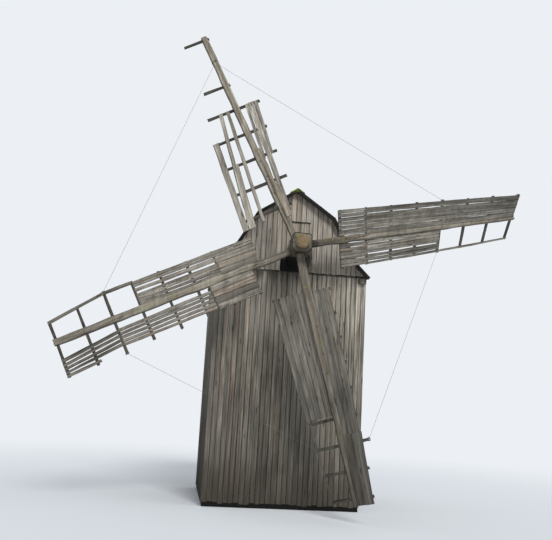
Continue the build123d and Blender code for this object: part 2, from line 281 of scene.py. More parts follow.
class MaterialGraph(Graph):
    """A material whose patterns lie in the mill's own coordinates."""

    def __init__(self, name: str) -> None:
        """Starts an empty material.

        Args:
            name: the material's name.
        """
        self.material = bpy.data.materials.new(name)
        self.material.use_nodes = True
        self.material.node_tree.nodes.clear()
        super().__init__(self.material.node_tree)
        self.position = self.node("ShaderNodeTexCoord").outputs["Object"]

    def show(self, shader: bpy.types.Node) -> Material:
        """Shows a shader on the surface and gives back the finished material."""
        self.node("ShaderNodeOutputMaterial", Surface=shader.outputs[0])
        return self.material


@dataclass(frozen=True)
class Fibres:
    """The fibres, drying cracks and knots of old timber, along the first axis of its coordinates.

    The sizes of the patterns are periods a metre, along the fibres and twice across them.
    """

    streaks: Triple = (0.7, 13.0, 13.0)
    lines: Triple = (0.5, 42.0, 42.0)
    threads: Triple = (5.0, 170.0, 170.0)
    splits: Triple = (0.9, 34.0, 34.0)
    knots: Triple = (1.1, 5.5, 5.5)
    crack: Span = (0.66, 0.72)
    knot: Span = (0.16, 0.07)
    thread_height: float = 0.45
    streak_height: float = 0.55
    crack_depth: float = 0.9

    def build(self) -> bpy.types.NodeTree:
        """Writes the group.

        Returns:
            The node group.
        """
        graph = GroupGraph("timber fibres", Vector=VECTOR, Coarse=NUMBER)
        scaled = graph.node(
            "ShaderNodeVectorMath", {"operation": "SCALE"}, i0=graph.given["Vector"],
            Scale=graph.given["Coarse"],
        ).outputs[0]
        streak = graph.noise(scaled, self.streaks, 5.0, 0.25)
        line = graph.noise(scaled, self.lines, 2.0, 0.2)
        thread = graph.noise(scaled, self.threads, 3.0)
        crack = graph.band(graph.noise(scaled, self.splits, 3.0, 0.4), *self.crack)
        places = graph.node("ShaderNodeMapping", Vector=scaled, Scale=self.knots)
        cells = graph.node("ShaderNodeTexVoronoi", Vector=places.outputs[0], Scale=1.0)
        knot = graph.band(cells.outputs["Distance"], *self.knot)
        height = graph.plus(
            graph.times(thread, self.thread_height), graph.times(streak, self.streak_height)
        )
        height = graph.minus(height, graph.times(crack, self.crack_depth))
        return graph.give(
            Streak=streak, Line=line, Fibre=thread, Crack=crack, Knot=knot, Height=height
        )


@dataclass(frozen=True)
class WeatheringAndPaintedLight:
    """Pale and dark patches, rain runs, damp from the ground, drips with painted shade under the gables,
    greasy dirt with painted deep shade round the shaft, painted shade at the gable's foot, and painted
    light and shade by height and by side.

    Most spans say where on the mill, in metres, something starts and where it is full. Those of
    the patches and of the runs are levels of their noise.
    """

    patches: Triple = (0.45, 0.45, 0.3)
    patch: Span = (0.33, 0.68)
    runs: Triple = (9.0, 9.0, 0.35)
    run: Span = (0.35, 0.75)
    damp: Span = (0.9, -1.1)
    damp_edge: Triple = (5.0, 5.0, 0.6)
    damp_rise: float = 2.4
    # Drips: dark streaks down from the top of the walls, also a painted shade under the gable.
    drip: Span = (7.75, 8.35)
    drip_tails: Triple = (7.0, 7.0, 0.15)
    drip_fall: float = 1.5
    drip_and_shade_sides: tuple[Span, ...] = ((0.9, -0.1), (-2.0, -1.3))
    # Painted shadow: a dark line along the top of the walls under the gable's edge.
    gable_shadow_line: Span = (7.46, 7.53)
    # Painted light and shade: darker towards the ground, lighter towards the top, and lighter still at
    # the upper outer corners.
    height_light: Span = (-0.5, 7.8)
    height_light_levels: Span = (0.52, 1.3)
    crown: Span = (4.8, 6.9)
    crown_sides: Span = (0.9, 1.7)
    crown_level: float = 0.42
    # Painted light: the right side lighter, the left side in painted shade.
    bleach: Span = (0.8, 2.2)
    side_light_levels: Span = (1.0, 1.48)
    side_light_wander: float = 0.5
    # Greasy dirt and painted deep shade round the shaft's opening, under its head and on the whips'
    # roots.
    grease_shade_middle: Triple = (0.16, -3.12, 7.93)
    grease_shade_squash: Triple = (1.0, 0.25, 1.0)
    grease_shade_edge: Triple = (5.0, 5.0, 2.5)
    grease_shade_wander: float = 0.5
    grease: Span = (0.98, 0.66)
    # Painted shade over the foot of the gable.
    skirt: Span = (8.5, 7.85)
    gable_foot_shade_wander: float = 0.15

    def build(self) -> bpy.types.NodeTree:
        """Writes the group.

        Returns:
            The node group.
        """
        graph = GroupGraph("weathering and painted light", Position=VECTOR)
        position = graph.given["Position"]
        side, height = graph.axis(position, "X"), graph.axis(position, "Z")
        patch = graph.band(graph.noise(position, self.patches, 4.0, 0.6), *self.patch)
        run = graph.band(graph.noise(position, self.runs, 4.0, 0.2), *self.run)
        edge = graph.times(graph.noise(position, self.damp_edge, 3.0), self.damp_rise)
        damp = graph.band(graph.minus(height, edge), *self.damp)
        # Dark streaks from the top of the walls with painted shade under the gable, and the painted
        # shadow line under the gable's edge.
        tail = graph.times(graph.noise(position, self.drip_tails, 3.0), self.drip_fall)
        drip = graph.band(graph.plus(height, tail), *self.drip)
        for reach in self.drip_and_shade_sides:
            drip = graph.times(drip, graph.band(side, *reach))
        drip = graph.most(drip, graph.band(height, *self.gable_shadow_line))
        # Painted light and shade by height, with painted light on the upper outer corners.
        outer = graph.band(graph.math("ABSOLUTE", side), *self.crown_sides)
        crown = graph.times(graph.band(height, *self.crown, 0.0, self.crown_level), outer)
        level = graph.plus(graph.band(height, *self.height_light, *self.height_light_levels), crown)
        # Painted light on the right side, with a ragged edge.
        bleach = graph.plus(side, graph.times(patch, self.side_light_wander))
        # Painted shade over the foot of the gable, with a ragged edge.
        skirt = graph.plus(height, graph.times(edge, self.gable_foot_shade_wander))
        return graph.give(
            Patch=patch, Run=run, Damp=damp, Drip=drip, Level=level,
            Bleach=graph.band(bleach, *self.bleach, *self.side_light_levels),
            Grease=self.greased_shaded(graph, position), Skirt=graph.band(skirt, *self.skirt),
        )

    def greased_shaded(self, graph: Graph, position: Socket) -> Socket:
        """Greasy dirt and painted deep shade round the shaft's neck, with a ragged edge.

        Args:
            graph: what the nodes go into.
            position: the place on the mill.

        Returns:
            How much of it there is, from 0 to 1.
        """
        shift = tuple(-m * s for m, s in zip(self.grease_shade_middle, self.grease_shade_squash))
        flat = graph.node(
            "ShaderNodeVectorMath", {"operation": "MULTIPLY_ADD"}, i0=position,
            i1=self.grease_shade_squash, i2=shift,
        ).outputs[0]
        away = graph.node("ShaderNodeVectorMath", {"operation": "LENGTH"}, i0=flat).outputs["Value"]
        ragged = graph.times(graph.noise(position, self.grease_shade_edge, 4.0), self.grease_shade_wander)
        return graph.band(graph.plus(away, ragged), *self.grease)


@dataclass(frozen=True)
class Moss:
    """Moss and lichen on what faces the sky, in cushions, and thick on the ridge's front end."""

    cushions: Triple = (2.2, 2.2, 2.2)
    tufts: Triple = (38.0, 38.0, 38.0)
    facing: Span = (-0.1, 0.7)
    cover: Span = (0.5, 0.62)
    crest_height: Span = (10.08, 10.24)
    crest_side: Span = (0.12, 0.02)
    crest_front: Span = (-1.9, -2.5)
    crest_gain: float = 0.3

    def build(self) -> bpy.types.NodeTree:
        """Writes the group.

        Returns:
            The node group.
        """
        graph = GroupGraph("moss", Position=VECTOR, Amount=NUMBER, Upward=NUMBER, Crest=NUMBER)
        position, upward = graph.given["Position"], graph.given["Upward"]
        up = graph.axis(graph.node("ShaderNodeNewGeometry").outputs["Normal"], "Z")
        facing = graph.times(graph.band(up, *self.facing), upward)
        facing = graph.plus(facing, graph.minus(1.0, upward))
        crest = graph.given["Crest"]
        for name, reach in (
            ("Z", self.crest_height), ("X", self.crest_side), ("Y", self.crest_front)
        ):
            crest = graph.times(graph.band(graph.axis(position, name), *reach), crest)
        facing = graph.most(facing, crest)
        spread = graph.noise(position, self.cushions, 5.0, 0.5)
        spread = graph.plus(spread, graph.minus(graph.given["Amount"], 0.5))
        spread = graph.plus(spread, graph.times(crest, self.crest_gain))
        cover = graph.times(graph.band(spread, *self.cover), facing)
        return graph.give(Cover=cover, Tuft=graph.noise(position, self.tufts, 3.0))


# Finishes


@dataclass(frozen=True)
class WoodFinish:
    """Bare timber gone grey: its colours, how much it has of each mark of the weather, and how much
    painted light and shade.
    """

    name: str
    dark: Colour
    mid: Colour
    light: Colour
    warm: Colour = (1.12, 0.93, 0.82)
    grain: Grain = Grain.MAP
    coarse: float = 1.0
    contrast: float = 0.32
    lines: float = 0.3
    rim: float = 0.55
    damp: float = 0.0
    # From here on the shares are of painted light and shade, some mixed with stains: drips with shade
    # under the gable, light by height and by side, greasy dirt with deep shade round the shaft, shade at
    # the gable's foot, and shade on faces that look down.
    drip: float = 0.0
    height_light: float = 0.0
    bleach: float = 0.0
    grease: float = 0.0
    skirt: float = 0.0
    # How much painted shade the faces that look down get.
    under: float = 0.0
    moss: float = 0.0
    upward: float = 1.0
    crest: float = 0.0
    moss_colour: Colour = srgb(126, 128, 62)
    roughness: float = 0.86
    relief: float = 0.55
    relief_depth: float = 0.006

    def coordinates(self, graph: MaterialGraph) -> Socket:
        """The coordinates whose first axis runs along the fibres.

        Args:
            graph: what the nodes go into.

        Returns:
            The coordinates in metres.
        """
        if self.grain is Grain.MAP:
            return graph.node("ShaderNodeUVMap", {"uv_map": "fibre"}).outputs[0]
        turn = (0, math.pi / 2, 0) if self.grain is Grain.Z else (0, 0, 0)
        return graph.node("ShaderNodeMapping", Vector=graph.position, Rotation=turn).outputs[0]

    def build(self, groups: dict[str, bpy.types.NodeTree]) -> Material:
        """Writes the material.

        Args:
            groups: the shared node groups by name.

        Returns:
            The material.
        """
        graph = MaterialGraph(self.name)
        fibre = graph.group(groups["fibre"], Vector=self.coordinates(graph), Coarse=self.coarse)
        weather = graph.group(groups["weather"], Position=graph.position)
        colour = self.weathered(graph, self.grained(graph, fibre, weather), weather)
        height = fibre["Height"]
        if self.moss:
            moss = graph.group(
                groups["moss"], Position=graph.position, Amount=self.moss, Upward=self.upward,
                Crest=self.crest,
            )
            young = tuple(min(channel * 1.5, 1.0) for channel in self.moss_colour)
            green = graph.mix(graph.band(moss["Tuft"], 0.35, 0.7), self.moss_colour, young)
            colour = graph.mix(moss["Cover"], colour, green)
            height = graph.plus(height, graph.times(moss["Cover"], graph.plus(moss["Tuft"], 0.6)))
        bump = graph.node(
            "ShaderNodeBump", Height=height, Strength=self.relief, Distance=self.relief_depth
        )
        rough = graph.band(fibre["Streak"], 0.2, 0.8, self.roughness - 0.06, self.roughness + 0.08)
        return graph.show(graph.node(
            "ShaderNodeBsdfPrincipled", Base_Color=colour, Roughness=rough, Normal=bump.outputs[0],
            Specular_IOR_Level=0.25,
        ))

    def grained(
        self, graph: Graph, fibre: bpy.types.NodeOutputs, weather: bpy.types.NodeOutputs
    ) -> Socket:
        """The colour of the fibres, the runs, the board's own tone, its rims and cracks.

        Args:
            graph: what the nodes go into.
            fibre: what the group of the fibres gives.
            weather: what the group of the weathering gives.

        Returns:
            The colour.
        """
        colour = deep = darker(self.dark, 0.5)
        for low, high, tone in ((0.3, 0.47, self.dark), (0.4, 0.56, self.mid), (0.53, 0.7, self.light)):
            colour = graph.mix(graph.band(fibre["Streak"], low, high), colour, tone)
        for share, tone in (
            (graph.band(fibre["Line"], 0.52, 0.66, 0.0, self.lines), self.light),
            (graph.band(fibre["Line"], 0.48, 0.34, 0.0, self.lines), deep),
            (graph.band(fibre["Fibre"], 0.62, 0.4, 0.0, 0.5), self.dark),
            (graph.times(weather["Patch"], 0.3), self.light),
            (graph.times(weather["Run"], 0.45), deep),
        ):
            colour = graph.mix(share, colour, tone)
        warmed = graph.mix(1.0, colour, self.warm, "MULTIPLY")
        colour = graph.mix(graph.layer("warm"), colour, warmed)
        tone = graph.plus(graph.times(graph.layer("tint"), self.contrast), 1.0)
        colour = graph.shade(colour, tone)
        for share in (
            graph.times(graph.math("POWER", graph.layer("rim"), 5.0), self.rim),
            graph.times(fibre["Crack"], 0.8), graph.times(fibre["Knot"], 0.7),
        ):
            colour = graph.mix(share, colour, darker(self.dark, 0.2))
        return colour

    def weathered(self, graph: Graph, colour: Socket, weather: bpy.types.NodeOutputs) -> Socket:
        """The colour after painted light and shade by height and by side, painted shade on faces that
        look down, greasy dirt with painted deep shade, painted shade at the gable's foot, drips with
        painted shade under the gable, and damp, as far as this finish has them.

        Args:
            graph: what the nodes go into.
            colour: the colour before.
            weather: what the group of the weathering gives.

        Returns:
            The colour.
        """
        black = darker(self.dark, 0.2)
        # Painted light and shade by height and by side.
        for share, kind in ((self.height_light, "Level"), (self.bleach, "Bleach")):
            if share:
                level = graph.node("ShaderNodeMapRange", i0=share, i3=1.0, i4=weather[kind])
                colour = graph.shade(colour, level.outputs[0])
        # Painted shade on the faces that look down.
        if self.under:
            up = graph.axis(graph.node("ShaderNodeNewGeometry").outputs["Normal"], "Z")
            colour = graph.mix(graph.band(up, 0.3, -0.35, 0.0, self.under), colour, black)
        # Greasy dirt with painted deep shade, painted shade at the gable's foot, drips with painted
        # shade under the gable, and damp.
        for share, kind, tone in (
            (self.grease, "Grease", GREASE_SHADE_BLACK), (self.skirt, "Skirt", black), (self.drip, "Drip", black),
            (self.damp, "Damp", WET_TIMBER),
        ):
            if share:
                colour = graph.mix(graph.times(weather[kind], share), colour, tone)
        return colour


@dataclass(frozen=True)
class IronFinish:
    """Old iron, from dull bare metal to rust."""

    name: str
    metal: Colour
    rust: Colour
    metallic: float
    rusted: float
    fine: float = 14.0

    def build(self) -> Material:
        """Writes the material.

        Returns:
            The material.
        """
        graph = MaterialGraph(self.name)
        spots = graph.noise(graph.position, (self.fine,) * 3, 6.0, 0.3)
        grit = graph.noise(graph.position, (self.fine * 12,) * 3, 3.0)
        rust = graph.band(spots, 0.62 - self.rusted * 0.4, 0.72 - self.rusted * 0.3)
        flake = graph.mix(graph.band(grit, 0.35, 0.65), darker(self.rust, 0.45), self.rust)
        height = graph.plus(grit, graph.times(rust, 0.5))
        bump = graph.node("ShaderNodeBump", Height=height, Strength=0.4, Distance=0.002)
        return graph.show(graph.node(
            "ShaderNodeBsdfPrincipled", Base_Color=graph.mix(rust, self.metal, flake),
            Metallic=graph.band(rust, 0.0, 1.0, self.metallic, 0.0),
            Roughness=graph.band(rust, 0.0, 1.0, 0.5, 0.92), Normal=bump.outputs[0],
        ))


# In these finishes the shares of drips, light by height and by side, greasy dirt round the shaft, shade
# at the gable's foot and shade on faces that look down paint light and shade.
WALL = WoodFinish(
    "weathered wall boards", dark=srgb(86, 81, 72), mid=srgb(127, 121, 110), light=srgb(168, 161, 150),
    contrast=0.15, lines=0.45, rim=0.8, damp=0.6, drip=0.8, height_light=1.0, bleach=0.9,
)
DOOR = WoodFinish(
    "weathered door boards", dark=srgb(76, 69, 60), mid=srgb(110, 101, 90), light=srgb(148, 139, 127),
    contrast=0.25, rim=0.75, damp=0.4,
)
GABLE = WoodFinish(
    "weathered gable boards", dark=srgb(142, 133, 121), mid=srgb(188, 179, 166),
    light=srgb(216, 208, 195), contrast=0.14, rim=0.7, bleach=0.9, grease=0.98, skirt=0.4,
)
ROOF = WoodFinish(
    "weathered roof boards", dark=srgb(66, 63, 57), mid=srgb(100, 96, 87), light=srgb(138, 134, 124),
    contrast=0.3, moss=0.5, moss_colour=srgb(104, 112, 54),
)
RIDGE = WoodFinish(
    "mossy ridge boards", dark=srgb(66, 64, 52), mid=srgb(98, 95, 80), light=srgb(128, 124, 104),
    contrast=0.2, moss=0.58, upward=0.15, crest=1.0, moss_colour=srgb(106, 124, 50),
)
# Dark: painted shade under the roof's edge.
VERGE = WoodFinish(
    "verge boards in painted shade", dark=srgb(34, 32, 29), mid=srgb(50, 47, 42), light=srgb(76, 72, 65),
    contrast=0.2, moss=0.4, upward=0.9, crest=0.5, moss_colour=srgb(100, 118, 44),
)
SAIL_BOARD = WoodFinish(
    "weathered sail boards", dark=srgb(80, 75, 67), mid=srgb(118, 113, 103),
    light=srgb(164, 158, 147), contrast=0.24, lines=0.45, rim=0.6, height_light=0.7,
)
SAIL_TIMBER = WoodFinish(
    "sail timber", dark=srgb(90, 83, 72), mid=srgb(134, 127, 114), light=srgb(174, 167, 153),
    contrast=0.24, coarse=0.8, rim=0.35, moss=0.4, upward=0.6, moss_colour=srgb(112, 120, 56),
    grease=0.7, height_light=0.6,
)
# Darker than the sail timber: painted shade on the bars.
BAR_TIMBER = WoodFinish(
    "sail bars in painted shade", dark=srgb(54, 51, 46), mid=srgb(82, 78, 71), light=srgb(114, 109, 100),
    contrast=0.24, rim=0.3, moss=0.3, upward=0.7,
)
# The shaft's share for faces that look down is painted shade on its underside.
SHAFT = WoodFinish(
    "windshaft timber", dark=srgb(102, 96, 80), mid=srgb(140, 134, 116), light=srgb(172, 166, 148),
    coarse=0.6, contrast=0.2, moss=0.45, upward=0.6, moss_colour=srgb(112, 120, 62), under=0.75,
)
END_GRAIN = WoodFinish(
    "end grain", dark=srgb(118, 101, 76), mid=srgb(136, 117, 87), light=srgb(152, 133, 101),
    coarse=1.6, contrast=0.2, lines=0.1,
)
FRAME_FINISHES = {
    Grain.X: WoodFinish(
        "beams across", dark=srgb(62, 56, 48), mid=srgb(88, 80, 70), light=srgb(116, 108, 96),
        grain=Grain.X, damp=0.35,
    ),
    Grain.Z: WoodFinish(
        "posts", dark=srgb(66, 60, 51), mid=srgb(92, 84, 73), light=srgb(118, 110, 97), grain=Grain.Z,
    ),
    Grain.MAP: WoodFinish(
        "hewn plate timber", dark=srgb(72, 67, 59), mid=srgb(108, 101, 90), light=srgb(140, 133, 120),
    ),
}
# Nearly black: damp, and painted shade under the wall boards.
SILL = WoodFinish(
    "damp sill timber in painted shade", dark=srgb(16, 14, 12), mid=srgb(25, 22, 19), light=srgb(38, 34, 29),
)
# Near black: greasy dirt, and a painted deep shade in the shaft's opening.
GREASED_SHADED = WoodFinish(
    "greased bearing timber in painted shade", dark=srgb(6, 6, 6), mid=srgb(9, 9, 8), light=srgb(16, 15, 14),
    grain=Grain.X, roughness=0.8,
)
GREASED_SHADED_LOG = WoodFinish(
    "greased windshaft neck in painted shade", dark=srgb(12, 11, 10), mid=srgb(20, 18, 16), light=srgb(32, 29, 26),
    roughness=0.7,
)
BAND = IronFinish("banding iron", srgb(72, 69, 65), srgb(86, 70, 56), 0.5, 0.75)
NAIL = IronFinish("nail heads", srgb(58, 54, 50), srgb(84, 54, 38), 0.5, 0.8, fine=60.0)
WIRE = IronFinish("stay wire", srgb(112, 109, 103), srgb(100, 92, 82), 0.3, 0.35, fine=26.0)


# Timbers


TEETH_A_METRE = 26
HEAD_TEETH, FOOT_TEETH = (0.0, 3.0), (5.0, 9.0)
WAVE_ACROSS, WAVE_OUT = 1.7, 1.3
WAVE_GAIN = 1.6


@dataclass(frozen=True)
class Stick:
    """One sawn or hewn timber: its size and how it has moved and broken since."""

    length: float
    width: float
    thickness: float
    chamfer: float = 0.003
    cuts: int = 6
    across: int = 1
    crook: float = 0.0
    bow: float = 0.0
    cup: float = 0.0
    wander: float = 0.002
    ragged_foot: float = 0.0
    ragged_head: float = 0.0
    width_head: Optional[float] = None
    thickness_head: Optional[float] = None
    head_line: Optional[Callable[[float], float]] = None


def edges_longer(mesh: bmesh.types.BMesh, axis: int, reach: float) -> list[bmesh.types.BMEdge]:
    """The edges that run further than a reach along an axis."""
    return [edge for edge in mesh.edges if abs(edge.verts[0].co[axis] - edge.verts[1].co[axis]) > reach]


class Timbers:
    """Gathers timbers that are nailed together into one piece."""

    def __init__(self, seed: int) -> None:
        """Starts an empty piece.

        Args:
            seed: what makes the same timbers on every run.
        """
        self.chance = random.Random(seed)
        self.mesh = bmesh.new()
        self.layers(self.mesh)

    @staticmethod
    def layers(mesh: bmesh.types.BMesh) -> tuple:
        """Makes the layers that the finishes read, where a mesh lacks them.

        Args:
            mesh: what gets them.

        Returns:
            The fibre map, and each board's tint, warmth and dark rim.
        """
        fibre = mesh.loops.layers.uv.get("fibre") or mesh.loops.layers.uv.new("fibre")
        numbers = mesh.verts.layers.float
        return fibre, *(numbers.get(name) or numbers.new(name) for name in ("tint", "warm", "rim"))

    @staticmethod
    def rough_box(stick: Stick) -> bmesh.types.BMesh:
        """Saws a box with chamfered arrises, cut across its length and its width.

        Args:
            stick: its size, its chamfer and its cuts.

        Returns:
            The box, along X from the origin and up from it.
        """
        mesh = bmesh.new()
        bmesh.ops.create_cube(mesh, size=1.0)
        bmesh.ops.translate(mesh, vec=(0.5, 0.0, 0.5), verts=mesh.verts)
        size = (stick.length, stick.width, stick.thickness)
        bmesh.ops.scale(mesh, vec=size, verts=mesh.verts)
        bmesh.ops.bevel(
            mesh, geom=edges_longer(mesh, 0, 1e-6), offset=stick.chamfer, offset_type="OFFSET",
            affect="EDGES", segments=1, profile=0.5, material=-1,
        )
        bmesh.ops.subdivide_edges(mesh, edges=edges_longer(mesh, 0, 1e-6), cuts=stick.cuts)
        if stick.across:
            wide = edges_longer(mesh, 1, stick.width * 0.5)
            bmesh.ops.subdivide_edges(mesh, edges=wide, cuts=stick.across, use_grid_fill=True)
        return mesh

    def add(self, stick: Stick, place: Placer, tint: Optional[float] = None, warm: float = 0.0) -> None:
        """Shapes one timber and adds it.

        Args:
            stick: its size and its faults. It lies along X from the origin, and its outer face is up.
            place: where each of its points goes.
            tint: how pale it is, from -1 to 1, or None for chance.
            warm: how much of the finish's warm colour it has.
        """
        chance = self.chance
        mesh = self.rough_box(stick)
        fibre, tint_layer, warm_layer, rim_layer = self.layers(mesh)
        shade = chance.uniform(-1, 1) if tint is None else tint + chance.uniform(-0.25, 0.25)
        shift = Vector((chance.uniform(0, 90), chance.uniform(0, 90)))
        for face in mesh.faces:
            end = abs(face.normal.x) > 0.7
            for loop in face.loops:
                x, y, z = loop.vert.co
                spot = (z * 4, y) if end else (x, y + z)
                loop[fibre].uv = shift + Vector(spot)
        seed = Vector((chance.uniform(0, 90), chance.uniform(0, 90), chance.uniform(0, 90)))
        crook, bow = chance.uniform(-1, 1) * stick.crook, chance.uniform(-1, 1) * stick.bow
        cup = chance.uniform(-0.3, 1) * stick.cup
        for vert in mesh.verts:
            vert[tint_layer] = shade
            vert[warm_layer] = warm
            vert[rim_layer] = max(abs(vert.co.y) / (stick.width / 2) * 1.5 - 0.5, 0.0)
            vert.co = place(self.warped(stick, vert.co, seed, crook, bow, cup))
        bmesh.ops.recalc_face_normals(mesh, faces=mesh.faces)
        pour(mesh, self.mesh)

    @staticmethod
    def broken(seed: Vector, row: Span, y: float, depth: float) -> float:
        """How much has broken off an end of a timber.

        Args:
            seed: where the timber lies in the noise.
            row: the end's own row in the noise.
            y: the place across the timber.
            depth: how deep the breaks go.

        Returns:
            The length that is missing there.
        """
        tooth = noise.noise(seed + Vector((row[0], y * TEETH_A_METRE, row[1]))) + 0.5
        return max(tooth, 0.0) * depth

    @classmethod
    def warped(
        cls, stick: Stick, spot: Vector, seed: Vector, crook: float, bow: float, cup: float
    ) -> Vector:
        """A point of a timber after drying, wear and breakage.

        Args:
            stick: the timber.
            spot: the point on its sawn box.
            seed: where the timber lies in the noise.
            crook: how far its middle bends sideways.
            bow: how far its middle bends outwards.
            cup: how far its sides curl outwards.

        Returns:
            The point's new place.
        """
        x, y, z = spot
        share = x / stick.length
        side = y / (stick.width / 2)
        narrow = 1.0 if stick.width_head is None else 1 + (stick.width_head / stick.width - 1) * share
        thin = (
            1.0 if stick.thickness_head is None
            else 1 + (stick.thickness_head / stick.thickness - 1) * share
        )
        reach = stick.length if stick.head_line is None else stick.head_line(y)
        head = cls.broken(seed, HEAD_TEETH, y, stick.ragged_head)
        foot = cls.broken(seed, FOOT_TEETH, y, stick.ragged_foot)
        arc = math.sin(math.pi * share)
        wave = noise.noise(seed + Vector((x * WAVE_ACROSS, side, 0.0))) * stick.wander
        wave_out = noise.noise(seed + Vector((x * WAVE_OUT, 4.0, side * 0.5))) * stick.wander
        return Vector((
            foot + (reach - head - foot) * share,
            y * narrow + crook * arc + wave * WAVE_GAIN,
            z * thin + bow * arc + cup * (side * side - 0.5) + wave_out,
        ))

    def finish(self, name: str, body: Body, slot: Slot, material: Material, *nodes: str) -> None:
        """Makes the piece from what has been gathered, in place of some of the frame's nodes."""
        make_piece(self.mesh, name, body, slot, [material], *nodes)


def pour(fresh: bmesh.types.BMesh, into: bmesh.types.BMesh) -> None:
    """Adds a finished mesh to another one and frees it.

    Args:
        fresh: the finished mesh.
        into: the mesh that takes it up.
    """
    data = bpy.data.meshes.new("poured")
    fresh.to_mesh(data)
    fresh.free()
    into.from_mesh(data)
    bpy.data.meshes.remove(data)


def make_object(mesh: bmesh.types.BMesh, name: str, materials: Sequence[Material]) -> bpy.types.Object:
    """Turns a mesh into an object of the scene and frees it.

    Args:
        mesh: the shape, in place.
        name: the object's name.
        materials: its materials, in the order of its faces' numbers.

    Returns:
        The object.
    """
    data = bpy.data.meshes.new(name)
    mesh.to_mesh(data)
    mesh.free()
    for material in materials:
        data.materials.append(material)
    made = bpy.data.objects.new(name, data)
    bpy.context.scene.collection.objects.link(made)
    return made


def make_piece(
    mesh: bmesh.types.BMesh, name: str, body: Body, slot: Slot, materials: Sequence[Material],
    *nodes: str,
) -> None:
    """Turns a mesh into a piece of the mill that rides on a body.

    Args:
        mesh: the shape, in place. It is freed.
        name: the piece's name.
        body: the body that it rides on.
        slot: a material slot's name, which is not used.
        materials: its materials, in the order of its faces' numbers.
        nodes: the nodes of the frame that it stands for.
    """
    piece = make_object(mesh, name, materials)
    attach(piece, body.value)
    if nodes:
        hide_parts(*nodes)
    LOG.info("%s: %d faces", name, len(piece.data.polygons))


def dress(frame: dict, name: str, material: Material) -> None:
    """Gives a node of the frame its finish.

    Args:
        frame: what the frame was loaded as.
        name: the node's name.
        material: the finish.
    """
    slots = frame["nodes"][name].data.materials
    slots.clear()
    slots.append(material)


def draw_through(mesh: bmesh.types.BMesh, rings: Sequence[Sequence[Vector]]) -> None:
    """Extrudes a loop of edges from ring to ring and closes both ends.

    Args:
        mesh: what the tube is added to.
        rings: the points of each ring, as many and in the same order in all of them.
    """
    loop = bmesh.ops.create_circle(mesh, cap_ends=True, radius=1.0, segments=len(rings[0]))["verts"]
    edges = list({edge for vert in loop for edge in vert.link_edges})
    for vert, spot in zip(loop, rings[0]):
        vert.co = spot
    for ring in rings[1:]:
        order = {tuple(vert.co): number for number, vert in enumerate(loop)}
        made = bmesh.ops.extrude_edge_only(mesh, edges=edges)["geom"]
        fresh = [item for item in made if isinstance(item, bmesh.types.BMVert)]
        loop = sorted(fresh, key=lambda vert: order[tuple(vert.co)])
        known = set(loop)
        edges = [
            item for item in made
            if isinstance(item, bmesh.types.BMEdge) and all(vert in known for vert in item.verts)
        ]
        for vert, spot in zip(loop, ring):
            vert.co = spot
    bmesh.ops.contextual_create(mesh, geom=edges)


def board_place(origin: Vector, along: Vector, across: Vector, outward: Vector) -> Placer:
    """Where a board goes that lies along, across and out from an origin."""

    def place(spot: Vector) -> Vector:
        """The place of one point."""
        return origin + along * spot.x + across * spot.y + outward * spot.z

    return place


class Nails:
    """Hand-made nail heads, all in one piece for each body."""

    def __init__(self, seed: int) -> None:
        """Takes the seed of their small turns and sizes."""
        self.chance = random.Random(seed)
        self.mesh = bmesh.new()

    def drive(self, spot: Vector, outward: Vector, radius: float = 0.008) -> None:
        """Drives one nail so that its domed head stands just proud of a face.

        Args:
            spot: the place on the face.
            outward: the direction that the face looks.
            radius: the usual radius of a head.
        """
        size = radius * self.chance.uniform(0.8, 1.15)
        turn = outward.to_track_quat("Z", "Y").to_matrix().to_4x4()
        spin = Matrix.Rotation(self.chance.uniform(0, math.tau), 4, "Z")
        bmesh.ops.create_cone(
            self.mesh, cap_ends=True, segments=6, radius1=size, radius2=size * 0.55, depth=size,
            matrix=Matrix.Translation(spot + outward * size * 0.2) @ turn @ spin,
        )


# House


@dataclass(frozen=True)
class RoofProfile:
    """The gambrel roof's outer line on the right of the ridge, and the thickness of its boards."""

    corners: tuple[Span, ...] = ((0.0, 10.32), (1.31, 9.44), (2.2, 7.87), (2.57, 7.51))
    thickness: float = 0.06

    def under(self, x: float) -> float:
        """The height of the boards' underside.

        Args:
            x: the distance from the ridge, on either side.

        Returns:
            The height over the ground.
        """
        distance = min(abs(x), self.corners[-1][0])
        (xa, za), (xb, zb) = next(
            pair for pair in zip(self.corners, self.corners[1:]) if distance <= pair[1][0]
        )
        slope = math.hypot(xb - xa, zb - za) / (xb - xa)
        return za + (zb - za) * (distance - xa) / (xb - xa) - self.thickness * slope


